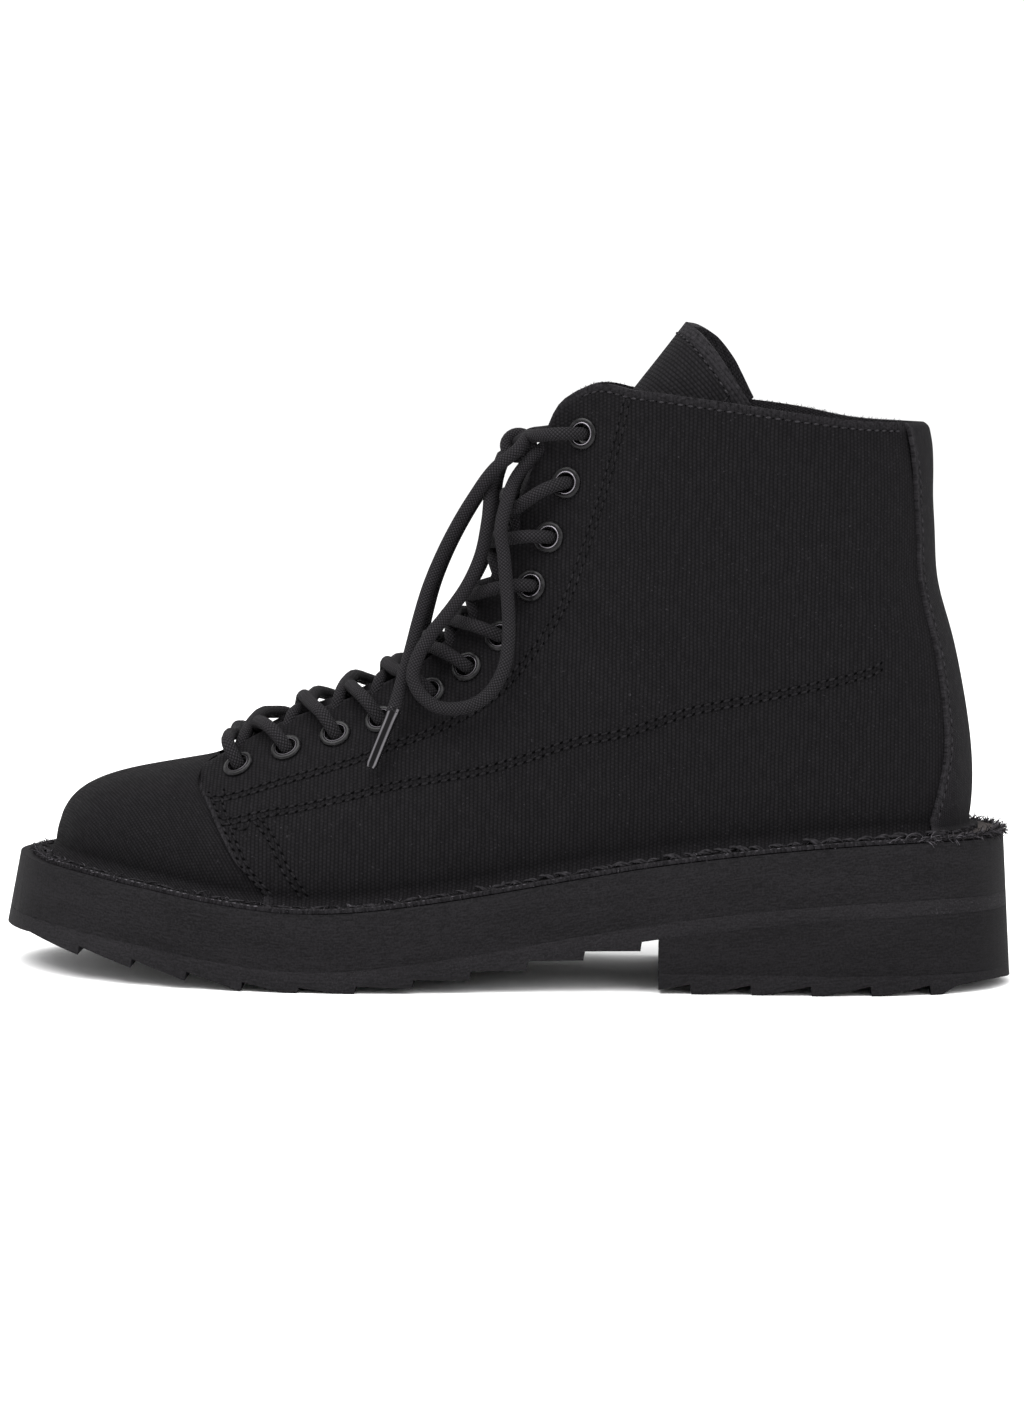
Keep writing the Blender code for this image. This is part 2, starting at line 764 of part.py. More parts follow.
def side_slab(name, collection, top, bottom, finish):
    """A side view of a layer, drawn from its top and bottom lines, across the whole width."""
    outline = [*top, *reversed(bottom)]
    reach = BALL_WIDTH
    points = [(x, -reach, z) for x, z in outline] + [(x, reach, z) for x, z in outline]
    n = len(outline)
    faces = [(i, (i + 1) % n, (i + 1) % n + n, i + n) for i in range(n)]
    faces += [tuple(reversed(range(n))), tuple(range(n, 2 * n))]
    return face_outward(mesh_object(name, collection, points, faces, finish))


def layer_line(start, end, drop, count=26):
    """A side line that keeps a drop below the rim."""
    return [(x, rim_height(x) - drop) for x in np.linspace(start, end, count)]


def tooth_line(base_drop):
    """The outsole's underside: ramps that deepen towards the heel, cut level where they meet the floor."""
    line = [(-FAR_X, rim_height(rim_x(1.0)) - base_drop)]
    for number in reversed(range(TOOTH_COUNT)):
        deep_x = FIRST_TOOTH_X - number * TOOTH_PITCH
        start = (deep_x - TOOTH_PITCH + TOOTH_STEP, rim_height(deep_x - TOOTH_PITCH) - base_drop)
        end = (deep_x, rim_height(deep_x) - base_drop - TOOTH_DEPTH)
        line.append(start)
        if end[1] < 0.0:
            cross = start[1] / (start[1] - end[1])
            line.append((start[0] + (end[0] - start[0]) * cross, 0.0))
            end = (end[0], 0.0)
        line.append(end)
    line += layer_line(FIRST_TOOTH_X + TOOTH_STEP, FAR_X, base_drop, 10)
    return line


def heel_tooth_line():
    """The top piece's underside: level lands at the front of each tooth, ramps rising behind them."""
    line = [(HEEL_TOOTH_X - TOOTH_STEP, HEEL_TOOTH_RISE)]
    for number in range(HEEL_TOOTH_COUNT):
        start = HEEL_TOOTH_X + number * HEEL_TOOTH_PITCH
        end = start + HEEL_TOOTH_PITCH - TOOTH_STEP
        if number == HEEL_TOOTH_COUNT - 1:
            end = FAR_X
        line += [(start, 0.0), (start + HEEL_TOOTH_LAND, 0.0), (end, HEEL_TOOTH_RISE)]
    return line


def make_sole(collection, cutters, finishes):
    """Midsole, outsole with teeth, heel block and top piece, each a side view cut to the outline."""
    prism = outline_prism("sole_outline", cutters, lambda out_x: 0.0, -20.0, 80.0, 29)
    front, rear = -FAR_X, FAR_X
    mid_low = MIDSOLE_THICKNESS
    out_top = mid_low + GAP
    out_low = out_top + OUTSOLE_BASE
    heel_top = out_low + GAP
    layers = {
        "midsole": (layer_line(front, rear, 0.0), layer_line(front, rear, mid_low)),
        "outsole": (layer_line(front, rear, out_top), tooth_line(out_low)),
        "heel_block": (
            layer_line(HEEL_BREAST_X, rear, heel_top, 10),
            [(HEEL_BREAST_X, TOP_PIECE + GAP), (rear, TOP_PIECE + GAP)],
        ),
        "heel_top_piece": (
            [(HEEL_BREAST_X, TOP_PIECE), (rear, TOP_PIECE)],
            [(HEEL_BREAST_X, HEEL_TOOTH_START), *heel_tooth_line()],
        ),
    }
    for name, (top, bottom) in layers.items():
        made = side_slab(name, collection, top, bottom, finishes[name])
        boolean(made, prism, "INTERSECT")
    inset = WALL + INSOLE_CLEARANCE
    last = outline_prism("last_outline", cutters, lambda out_x: welt_width(out_x) + inset, -20.0, 80.0, 19)
    slab = side_slab(
        "insole",
        collection,
        layer_line(front, rear, -GAP - INSOLE_THICKNESS, 20),
        layer_line(front, rear, -GAP, 20),
        finishes["insole"],
    )
    boolean(slab, last, "INTERSECT")


def start_afresh():
    for old in list(bpy.data.objects):
        bpy.data.objects.remove(old, do_unlink=True)


def main():
    start_afresh()
    scene = bpy.context.scene
    part = bpy.data.collections.new(NAME)
    cutters = bpy.data.collections.new("cutters")
    scene.collection.children.link(part)
    scene.collection.children.link(cutters)
    canvas = material("canvas", (0.012, 0.012, 0.013), 0.9)
    tongue_canvas = material("tongue_canvas", (0.012, 0.012, 0.013), 0.9)
    strip_canvas = material("strip_canvas", (0.012, 0.012, 0.013), 0.9)
    finishes = {
        "midsole": material("midsole_rubber", (0.016, 0.016, 0.017), 0.75),
        "outsole": material("outsole_rubber", (0.035, 0.035, 0.036), 0.85),
        "heel_block": material("heel_rubber", (0.016, 0.016, 0.017), 0.75),
        "heel_top_piece": material("top_piece_rubber", (0.02, 0.02, 0.021), 0.8),
        "insole": material("insole_board", (0.20, 0.15, 0.10), 0.8),
    }
    upper = make_upper(part, canvas)
    boolean(upper, eyelet_punch(cutters), "DIFFERENCE")
    make_eyelets(part, material("eyelet_metal", (0.02, 0.02, 0.02), 0.3, 0.6))
    lace_cloth = material("lace_cord", (0.03, 0.03, 0.031), 0.85)
    make_lace(part, cutters, lace_cloth)
    make_cords(part, cutters, lace_cloth, material("aglet_plastic", (0.02, 0.02, 0.02), 0.2))
    make_backstay(part, strip_canvas)
    make_tongue(part, tongue_canvas)
    make_sole(part, cutters, finishes)
    for tool in cutters.objects:
        tool.hide_render = True
        tool.display_type = "WIRE"


main()
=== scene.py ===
import math

import bpy
import numpy as np
from mathutils import Matrix, Vector


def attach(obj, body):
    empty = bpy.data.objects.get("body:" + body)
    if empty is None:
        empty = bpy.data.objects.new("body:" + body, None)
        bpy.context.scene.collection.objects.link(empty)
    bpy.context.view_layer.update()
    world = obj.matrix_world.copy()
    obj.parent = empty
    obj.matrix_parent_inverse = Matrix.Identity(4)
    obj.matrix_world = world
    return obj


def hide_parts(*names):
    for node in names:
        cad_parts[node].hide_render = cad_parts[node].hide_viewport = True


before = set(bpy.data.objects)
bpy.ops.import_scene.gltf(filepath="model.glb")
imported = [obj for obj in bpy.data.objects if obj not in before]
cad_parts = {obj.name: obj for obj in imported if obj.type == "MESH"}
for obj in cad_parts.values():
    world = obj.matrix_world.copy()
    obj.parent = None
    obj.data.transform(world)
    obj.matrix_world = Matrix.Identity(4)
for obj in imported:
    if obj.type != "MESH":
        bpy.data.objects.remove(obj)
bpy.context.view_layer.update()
mm = 0.001
outer, inner = -1, 1
bothSides = ((outer, "outer"), (inner, "inner"))
dice = np.random.default_rng(7)

# The last, in millimetres: the same sizes and tables that the frame's upper is worked out from.
lastSizes = {
    "gap": 0.3,
    "rimLength": 291.0,
    "rimHeelX": 146.3,
    "ballWidth": 104.0,
    "toeShift": 5.0,
    "leanStartX": 40.0,
    "wall": 2.0,
    "quarterStep": 1.0,
    "weltSide": 8.5,
    "weltToe": 11.2,
    "weltHeel": 13.0,
    "flareToe": 0.18,
    "flareHeel": 0.07,
    "samples": 400,  # points along each half of an outline
}
soleStations = [  # share, outer, inner
    (0.025, 0.188, 0.188),
    (0.081, 0.303, 0.300),
    (0.161, 0.360, 0.350),
    (0.265, 0.375, 0.346),
    (0.376, 0.388, 0.337),
    (0.480, 0.421, 0.365),
    (0.577, 0.473, 0.420),
    (0.668, 0.5015, 0.477),
    (0.758, 0.493, 0.500),
    (0.848, 0.444, 0.462),
    (0.921, 0.344, 0.384),
    (0.973, 0.200, 0.262),
]
rimHeights = [  # share, height
    (0.00, 44.2),
    (0.07, 44.2),
    (0.17, 42.8),
    (0.265, 39.9),
    (0.355, 36.3),
    (0.425, 32.8),
    (0.50, 28.9),
    (0.58, 25.3),
    (0.66, 22.8),
    (0.71, 22.6),
    (0.78, 24.6),
    (0.85, 27.9),
    (0.92, 30.8),
    (1.00, 33.2),
]
ribs = [  # share, swell, rise, topX, topHalf, topZ, handX, handHalf, handZ
    (0.000, 5.5, 30.0, 118.8, 0.0, 164.3, 2.9, 0.0, -57.0),
    (0.058, 4.5, 29.0, 113.8, 14.0, 164.3, 2.9, 0.9, -53.0),
    (0.130, 4.0, 28.5, 100.0, 27.0, 164.7, 2.2, 0.2, -48.0),
    (0.200, 3.8, 28.0, 85.5, 32.3, 166.3, 0.7, -1.5, -46.0),
    (0.290, 3.5, 30.0, 57.4, 34.5, 170.0, 0.7, -2.0, -48.0),
    (0.350, 3.5, 32.0, 36.4, 31.5, 172.4, 3.7, 1.0, -46.0),
    (0.390, 3.5, 33.0, 22.4, 22.5, 173.2, 8.6, 7.0, -42.0),
    (0.410, 3.5, 33.0, 13.9, 18.2, 167.6, 11.5, 9.0, -36.0),
    (0.432, 3.5, 32.0, 8.1, 17.0, 152.6, 10.4, 9.5, -26.0),
    (0.465, 3.5, 31.0, 0.4, 16.5, 131.9, 9.3, 10.0, -20.0),
    (0.507, 3.5, 30.0, -7.2, 16.5, 112.3, 7.2, 11.0, -15.0),
    (0.555, 3.5, 29.0, -19.4, 16.5, 95.9, 2.7, 12.0, -11.0),
    (0.612, 3.5, 27.0, -41.2, 16.0, 82.5, 0.1, 13.0, -9.0),
    (0.665, 3.0, 25.0, -66.6, 15.0, 72.6, -3.0, 14.0, -7.5),
    (0.705, 3.0, 21.5, -83.9, 13.5, 62.6, -6.0, 14.0, -4.6),
    (0.780, 2.5, 20.5, -87.4, 10.0, 62.1, -6.0, 22.0, -4.2),
    (0.870, 2.0, 20.0, -89.4, 6.0, 61.7, -20.0, 17.0, -4.1),
    (0.940, 1.5, 19.5, -90.2, 2.8, 61.4, -28.5, 8.0, -4.3),
    (1.000, 1.2, 19.5, -90.4, 0.0, 61.4, -30.5, 0.0, -4.3),
]
eyelets = [  # share, up, from toe to collar
    (0.688, 0.764),
    (0.659, 0.751),
    (0.630, 0.754),
    (0.601, 0.749),
    (0.564, 0.773),
    (0.532, 0.768),
    (0.497, 0.752),
    (0.4575, 0.749),
    (0.4365, 0.785),
    (0.416, 0.834),
    (0.3985, 0.905),
]
toeSeam = [  # up, share of the quarters' front edge
    (0.00, 0.706),
    (0.14, 0.728),
    (0.30, 0.735),
    (0.56, 0.738),
    (0.76, 0.750),
    (0.89, 0.745),
    (1.00, 0.708),
]


def hermiteAt(places, values, at):
    at = np.clip(np.asarray(at, float), places[0], places[-1])
    steps = np.diff(places)
    slopes = np.diff(values, axis=0) / steps[:, None]
    before, after = steps[:-1, None], steps[1:, None]
    between = (slopes[1:] * before + slopes[:-1] * after) / (before + after)
    turns = np.vstack([slopes[:1], between, slopes[-1:]])
    i = np.clip(np.searchsorted(places, at, side="right") - 1, 0, len(steps) - 1)
    step = steps[i][..., None]
    t = (at - places[i])[..., None] / step
    start = (1 + 2 * t) * (1 - t) ** 2 * values[i] + t * (1 - t) ** 2 * step * turns[i]
    return start + t * t * (3 - 2 * t) * values[i + 1] + t * t * (t - 1) * step * turns[i + 1]


def tableAt(table, at):
    rows = np.array(table, float)
    return hermiteAt(rows[:, 0], rows[:, 1:], at)


def lengths(line):
    return np.concatenate([[0.0], np.cumsum(np.linalg.norm(np.diff(line, axis=0), axis=1))])


def lineAt(line, along, at):
    return np.stack([np.interp(at, along, line[:, k]) for k in range(line.shape[1])], axis=-1)


def evenLine(line, count):
    along = lengths(line)
    return lineAt(line, along, np.linspace(0, along[-1], count))


def smoothRoute(points, count):
    points = np.array(points, float)
    places = lengths(points)
    return evenLine(hermiteAt(places, points, np.linspace(0, places[-1], count * 6)), count)


def rimX(share):
    return lastSizes["rimHeelX"] - share * lastSizes["rimLength"]


def rimHeight(x):
    share = (lastSizes["rimHeelX"] - np.asarray(x, float)) / lastSizes["rimLength"]
    return tableAt(rimHeights, share)[..., 0]


def middleY(x):
    start = lastSizes["leanStartX"]
    return lastSizes["toeShift"] * np.clip((start - np.asarray(x, float)) / (start - rimX(1.0)), 0, 1)


def soleRim():
    width = lastSizes["ballWidth"]
    outerSide = [(rimX(share), outer * half * width) for share, half, _ in soleStations]
    innerSide = [(rimX(share), inner * half * width) for share, _, half in soleStations]
    toe = (rimX(1.0), lastSizes["toeShift"])
    loop = np.array([(rimX(0.0), 0.0), *outerSide, toe, *reversed(innerSide)])
    padded = np.vstack([loop[-3:], loop, loop[:4]])
    places = lengths(padded)
    turn = 3 + len(outerSide) + 1
    halves = {}
    for side, start, end in ((outer, 3, turn), (inner, turn, 3 + len(loop))):
        line = hermiteAt(places, padded, np.linspace(places[start], places[end], lastSizes["samples"]))
        halves[side] = line if side == outer else line[::-1]
    return halves


rim = soleRim()


def rimNormals(side):
    run = np.gradient(rim[side], axis=0)
    run /= np.linalg.norm(run, axis=1)[:, None]
    out = np.stack([run[:, 1], -run[:, 0]], axis=1) * side
    out[0], out[-1] = (1.0, 0.0), (-1.0, 0.0)
    return out


rimOut = {side: rimNormals(side) for side in (outer, inner)}


def weltWidth(outX):
    end = np.where(outX > 0, lastSizes["weltHeel"], lastSizes["weltToe"])
    return lastSizes["weltSide"] + (end - lastSizes["weltSide"]) * outX * outX


def featherHalf(side):
    out = rimOut[side]
    return evenLine(np.hstack([rim[side] - out * weltWidth(out[:, 0])[:, None], out]), lastSizes["samples"])


feather = {side: featherHalf(side) for side in (outer, inner)}


def sideAndShare(around):
    around = np.asarray(around, float) % 2.0
    return np.where(around <= 1.0, outer, inner), np.where(around <= 1.0, around, 2.0 - around)


def aroundOf(side, share):
    return share if side == outer else 2.0 - share


def featherAt(around):
    side, share = sideAndShare(around)
    at = np.linspace(0, 1, lastSizes["samples"])
    halves = [lineAt(feather[half], at, share) for half in (outer, inner)]
    return np.where((side == outer)[..., None], *halves)


def ribRows():
    rows = np.array(ribs)
    odd = np.array([1, 1, 1, 1, -1, 1, 1, -1, 1])
    before, after = rows[2:0:-1] * odd, rows[-2:-4:-1] * odd
    before[:, 0] = -rows[2:0:-1, 0]
    after[:, 0] = 2.0 - rows[-2:-4:-1, 0]
    return np.vstack([before, rows, after])


ribTable = ribRows()


def onRib(around, up):
    around, up = np.broadcast_arrays(np.asarray(around, float), np.asarray(up, float))
    side, share = sideAndShare(around)
    row = hermiteAt(ribTable[:, 0], ribTable[:, 1:], share)
    swell, rise, topX, topHalf, topZ, handX, handHalf, handZ = (row[..., k] for k in range(8))
    base = featherAt(around)
    footZ = rimHeight(base[..., 0]) + lastSizes["gap"] + lastSizes["wall"]
    foot = np.stack([base[..., 0], base[..., 1], footZ], -1)
    low = foot + np.stack([base[..., 2] * swell, base[..., 3] * swell, rise], -1)
    top = np.stack([topX, middleY(topX) + side * topHalf, topZ], -1)
    high = top + np.stack([handX, side * handHalf, handZ], -1)
    u, d = up[..., None], 1.0 - up[..., None]
    point = d ** 3 * foot + 3 * d * d * u * low + 3 * d * u * u * high + u ** 3 * top
    # the inner side of the collar stands a little higher
    innerRise = 1.5 * np.exp(-(((share - 0.22) / 0.07) ** 2)) * up ** 6
    point[..., 2] += np.where(side == inner, innerRise, 0.0)
    return point


def faceNormal(around, up):
    mid = np.clip(up, 0.02, 0.98)
    run = onRib(around + 0.012, mid) - onRib(around - 0.012, mid)
    climb = onRib(around, mid + 0.02) - onRib(around, mid - 0.02)
    normal = np.cross(climb, run)
    return normal / np.linalg.norm(normal, axis=-1)[..., None]


def skin(around, up, raised):
    return onRib(around, up) + faceNormal(around, up) * np.asarray(raised, float)[..., None]


def seat(side, number):
    share, up = eyelets[number]
    return aroundOf(side, share), up


def edgeShare(number):
    share, up = eyelets[number]
    shares = np.linspace(0.424, 0.705, 90)
    reach = np.linalg.norm(onRib(shares, 1.0) - onRib(share, up), axis=-1)
    return float(shares[int(np.argmin(reach))])


def acrossThroat(share, raised, t, crown=0.4):
    ends = []
    for side in (outer, inner):
        around = aroundOf(side, share)
        lead = onRib(around, 1.0) - onRib(around, 0.97)
        run = onRib(around + 0.01, 1.0) - onRib(around - 0.01, 1.0)
        run /= np.linalg.norm(run)
        lead -= run * (lead @ run)
        ends.append((skin(around, 1.0, raised), lead / np.linalg.norm(lead)))
    (a, leadA), (b, leadB) = ends
    reach = np.linalg.norm(b - a) * crown
    start = (1 + 2 * t) * (1 - t) ** 2 * a + t * (1 - t) ** 2 * reach * leadA
    return start + t * t * (3 - 2 * t) * b - t * t * (t - 1) * reach * leadB


print("stage: last worked out")


# Camera at the photograph's angle.
view = {"place": (42.1, -1199.0, 187.3), "aim": (0.9, 0.0, 77.7), "roll": -0.0157, "lens": 103.58}


def setCamera():
    bpy.ops.object.select_all(action="DESELECT")
    bpy.ops.object.camera_add()
    camera = bpy.context.object
    camera.name = "camera"
    ahead = (Vector(view["aim"]) - Vector(view["place"])).normalized()
    right = ahead.cross(Vector((view["roll"], 0, 1))).normalized()
    turn = Matrix((right, right.cross(ahead), -ahead)).transposed().to_4x4()
    turn.translation = Vector(view["place"]) * mm
    camera.matrix_world = turn
    camera.data.lens = view["lens"]
    camera.data.sensor_width = 36.0
    camera.data.clip_start = 0.01
    bpy.context.scene.camera = camera


setCamera()


# Small tools for modelling.
def activate(piece):
    bpy.ops.object.select_all(action="DESELECT")
    piece.select_set(True)
    bpy.context.view_layer.objects.active = piece


def fromPrimitive(add, **values):
    bpy.ops.object.select_all(action="DESELECT")
    add(**values)
    return bpy.context.object


def applyTransform():
    bpy.ops.object.transform_apply(location=True, rotation=True, scale=True)


def editMesh(piece, *steps):
    activate(piece)
    bpy.context.tool_settings.mesh_select_mode = (False, False, True)
    bpy.ops.object.mode_set(mode="EDIT")
    for step in steps:
        step()
    bpy.ops.object.mode_set(mode="OBJECT")


def mergeAndTurnOut(piece, reach=0.00001):
    editMesh(
        piece,
        lambda: bpy.ops.mesh.select_all(action="SELECT"),
        lambda: bpy.ops.mesh.remove_doubles(threshold=reach),
        lambda: bpy.ops.mesh.normals_make_consistent(inside=False),
    )


def applyModifier(piece, kind, **values):
    modifier = piece.modifiers.new(kind.lower(), kind)
    for name, value in values.items():
        setattr(modifier, name, value)
    activate(piece)
    bpy.ops.object.modifier_apply(modifier=modifier.name)


def smoothByAngle(piece, degrees):
    activate(piece)
    bpy.ops.object.shade_smooth_by_angle(angle=math.radians(degrees))


def softenEdges(piece, width, degrees):
    angle = math.radians(degrees)
    applyModifier(piece, "BEVEL", width=width * mm, segments=2, limit_method="ANGLE", angle_limit=angle)


def clothLayer(mesh):
    while mesh.uv_layers:
        mesh.uv_layers.remove(mesh.uv_layers[0])
    return mesh.uv_layers.new(name="cloth")


def setCloth(mesh, perVertex):
    layer = clothLayer(mesh)
    corner = np.zeros(len(mesh.loops), int)
    mesh.loops.foreach_get("vertex_index", corner)
    layer.data.foreach_set("uv", np.asarray(perVertex, np.float32)[corner].ravel())


def placesOf(piece):
    flat = np.zeros(len(piece.data.vertices) * 3)
    piece.data.vertices.foreach_get("co", flat)
    return flat.reshape(-1, 3)


def gridPiece(name, grid, cloth, inside=None):
    rows, columns = grid.shape[:2]
    piece = fromPrimitive(
        bpy.ops.mesh.primitive_grid_add, x_subdivisions=columns - 1, y_subdivisions=rows - 1, size=1.0
    )
    piece.name = piece.data.name = name
    flat = placesOf(piece)
    order = np.lexsort((flat[:, 0].round(6), flat[:, 1].round(6)))
    places = np.zeros_like(flat)
    places[order] = grid.reshape(-1, 3) * mm
    piece.data.vertices.foreach_set("co", places.ravel())
    perVertex = np.zeros((len(flat), 2))
    perVertex[order] = cloth.reshape(-1, 2)
    setCloth(piece.data, perVertex)
    piece.data.update()
    middles = np.array([face.center for face in piece.data.polygons])
    facing = np.array([face.normal for face in piece.data.polygons])
    centre = middles.mean(0) if inside is None else np.array(inside) * mm
    if ((middles - centre) * facing).sum(1).mean() < 0:
        piece.data.flip_normals()
    return piece


def gridNormals(grid):
    normal = np.cross(np.gradient(grid, axis=0), np.gradient(grid, axis=1))
    return normal / np.maximum(np.linalg.norm(normal, axis=-1), 1e-9)[..., None]


def arrayPiece(name, points, faces, smooth=True):
    mesh = bpy.data.meshes.new(name)
    mesh.from_pydata((points * mm).tolist(), [], faces)
    piece = bpy.data.objects.new(name, mesh)
    bpy.context.scene.collection.objects.link(piece)
    mesh.polygons.foreach_set("use_smooth", [smooth] * len(mesh.polygons))
    mesh.update()
    return piece


def joinArrays(parts):
    points, faces, count = [], [], 0
    for some, theirs in parts:
        points.append(some)
        faces += [tuple(v + count for v in face) for face in theirs]
        count += len(some)
    return np.vstack(points), faces


def meshArrays(piece):
    return placesOf(piece) / mm, [tuple(face.vertices) for face in piece.data.polygons]


def scatter(name, unit, turns):
    points, faces = meshArrays(unit)
    bpy.data.objects.remove(unit)
    return arrayPiece(name, *joinArrays((points @ axes + place, faces) for place, axes in turns))


def sweep(path, radius, sides):
    path = np.asarray(path, float)
    run = np.gradient(path, axis=0)
    run /= np.linalg.norm(run, axis=1)[:, None]
    side = np.cross(run[0], (0.3, 0.5, 0.8))
    frames = []
    for way in run:
        side = side - way * (side @ way)
        side /= np.linalg.norm(side)
        frames.append((side, np.cross(way, side)))
    angle = np.linspace(0, 2 * math.pi, sides + 1)
    radius = np.broadcast_to(radius, len(path))
    along = lengths(path)
    n = sides + 1
    points, cloth = [], []
    for k, (a, b) in enumerate(frames):
        ring = (np.cos(angle) * radius[k])[:, None] * a
        points.append(path[k] + ring + (np.sin(angle) * radius[k])[:, None] * b)
        cloth.append(np.stack([angle / (2 * math.pi), np.full(n, along[k])], -1))
    faces = [
        (k * n + j, k * n + j + 1, (k + 1) * n + j + 1, (k + 1) * n + j)
        for k in range(len(path) - 1)
        for j in range(sides)
    ]
    for cap, k in enumerate((0, len(path) - 1)):
        points.append(path[k][None])
        cloth.append(np.array([[0.5, along[k]]]))
        centre = len(path) * n + cap
        faces += [(centre, k * n + j + 1, k * n + j) for j in range(sides)]
    return np.vstack(points), faces, np.vstack(cloth)


def joinSweeps(name, sweeps):
    piece = arrayPiece(name, *joinArrays((points, faces) for points, faces, _ in sweeps), smooth=False)
    setCloth(piece.data, np.vstack([cloth for _, _, cloth in sweeps]))
    mergeAndTurnOut(piece)
    smoothByAngle(piece, 60.0)
    return piece


def dress(piece, slotName, finish, *nodes):
    piece.data.materials.clear()
    for one in finish if isinstance(finish, (list, tuple)) else [finish]:
        piece.data.materials.append(one)
    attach(piece, "root")
    if nodes:
        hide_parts(*nodes)


# Shader tools: nodes are added by short calls that take sockets or numbers.
def feed(tree, socket, value):
    if isinstance(value, bpy.types.NodeSocket):
        tree.links.new(value, socket)
    else:
        socket.default_value = value


def put(tree, kind, values=None, **settings):
    node = tree.nodes.new(kind)
    for name, value in settings.items():
        setattr(node, name, value)
    for key, value in (values or {}).items():
        feed(tree, node.inputs[key], value)
    return node


def sums(tree, operation, a, b=0.0, c=0.0):
    return put(tree, "ShaderNodeMath", {0: a, 1: b, 2: c}, operation=operation).outputs[0]


def times(tree, a, b):
    return sums(tree, "MULTIPLY", a, b)


def blend(tree, share, a, b):
    return put(tree, "ShaderNodeMix", {0: share, 6: a, 7: b}, data_type="RGBA").outputs[2]


def noise(tree, place, scale, detail=2.0, rough=0.5):
    values = {"Vector": place, "Scale": scale, "Detail": detail, "Roughness": rough}
    return put(tree, "ShaderNodeTexNoise", values).outputs[0]


def spread(tree, value, low, high, toLow=0.0, toHigh=1.0):
    values = {"Value": value, "From Min": low, "From Max": high, "To Min": toLow, "To Max": toHigh}
    return put(tree, "ShaderNodeMapRange", values).outputs[0]


def stretch(tree, place, scale, turn=0.0):
    values = {"Vector": place, "Scale": scale, "Rotation": (0.0, 0.0, math.radians(turn))}
    return put(tree, "ShaderNodeMapping", values).outputs[0]


def parted(tree, place):
    return put(tree, "ShaderNodeSeparateXYZ", {0: place}).outputs


def objectPlace(tree):
    return put(tree, "ShaderNodeTexCoord").outputs["Object"]


def ownValue(tree, name):
    return put(tree, "ShaderNodeAttribute", attribute_name=name).outputs["Fac"]


def newGroup(name, inputs, outputs):
    group = bpy.data.node_groups.new(name, "ShaderNodeTree")
    for label, kind, value in inputs:
        socket = group.interface.new_socket(name=label, in_out="INPUT", socket_type=kind)
        if value is not None:
            socket.default_value = value
    for label in outputs:
        group.interface.new_socket(name=label, in_out="OUTPUT", socket_type="NodeSocketFloat")
    return group, put(group, "NodeGroupInput").outputs, put(group, "NodeGroupOutput").inputs


def useGroup(tree, group, **values):
    return put(tree, "ShaderNodeGroup", values, node_tree=group).outputs


def duckWeave():
    # ribs along the warp, with a knuckle wherever the weft crosses, and uneven threads
    inputs = [("Cloth", "NodeSocketVector", None), ("Pitch", "NodeSocketFloat", 1.15)]
    group, given, out = newGroup("duckWeave", inputs, ["Height", "Thread"])
    slow = noise(group, stretch(group, given["Cloth"], (0.09, 0.09, 1.0)), 1.0, 2.0)
    parts = parted(group, given["Cloth"])
    across = sums(group, "DIVIDE", sums(group, "MULTIPLY_ADD", slow, 0.9, parts[0]), given["Pitch"])
    along = sums(group, "DIVIDE", sums(group, "MULTIPLY_ADD", slow, 0.7, parts[1]), given["Pitch"])
    column = sums(group, "FLOOR", across)
    wave = sums(group, "SINE", times(group, across, math.pi))
    rib = sums(group, "POWER", sums(group, "ABSOLUTE", wave), 0.7)
    turn = sums(group, "MULTIPLY_ADD", column, math.pi, times(group, along, 2 * math.pi))
    knuckle = sums(group, "MULTIPLY_ADD", sums(group, "COSINE", turn), 0.24, 0.76)
    group.links.new(times(group, rib, knuckle), out["Height"])
    spot = put(group, "ShaderNodeCombineXYZ", {0: column, 1: times(group, along, 0.16), 2: 0.0}).outputs[0]
    group.links.new(noise(group, spot, 1.7, 1.0), out["Thread"])
    return group


def lintSpecks():
    inputs = [("Cloth", "NodeSocketVector", None), ("Amount", "NodeSocketFloat", 0.5)]
    group, given, out = newGroup("lintSpecks", inputs, ["Mask"])
    fine = noise(group, given["Cloth"], 1.1, 3.0, 0.7)
    patch = noise(group, given["Cloth"], 0.035, 2.0)
    speck = spread(group, fine, 0.62, 0.74)
    group.links.new(times(group, speck, times(group, patch, given["Amount"])), out["Mask"])
    return group


def braidPattern():
    # two sets of strands that wind round the cord in opposite ways
    inputs = [
        ("Cloth", "NodeSocketVector", None),
        ("Strands", "NodeSocketFloat", 6.0),
        ("Lay", "NodeSocketFloat", 5.0),
    ]
    group, given, out = newGroup("braidPattern", inputs, ["Height", "Strand"])
    parts = parted(group, given["Cloth"])
    roundCord = times(group, parts[0], given["Strands"])
    step = times(group, sums(group, "DIVIDE", parts[1], given["Lay"]), given["Strands"])
    left = sums(group, "SINE", times(group, sums(group, "ADD", roundCord, step), math.pi))
    right = sums(group, "SINE", times(group, sums(group, "SUBTRACT", roundCord, step), math.pi))
    height = times(group, sums(group, "ABSOLUTE", left), sums(group, "ABSOLUTE", right))
    group.links.new(sums(group, "POWER", height, 0.55), out["Height"])
    group.links.new(sums(group, "MULTIPLY_ADD", times(group, left, right), 0.5, 0.5), out["Strand"])
    return group


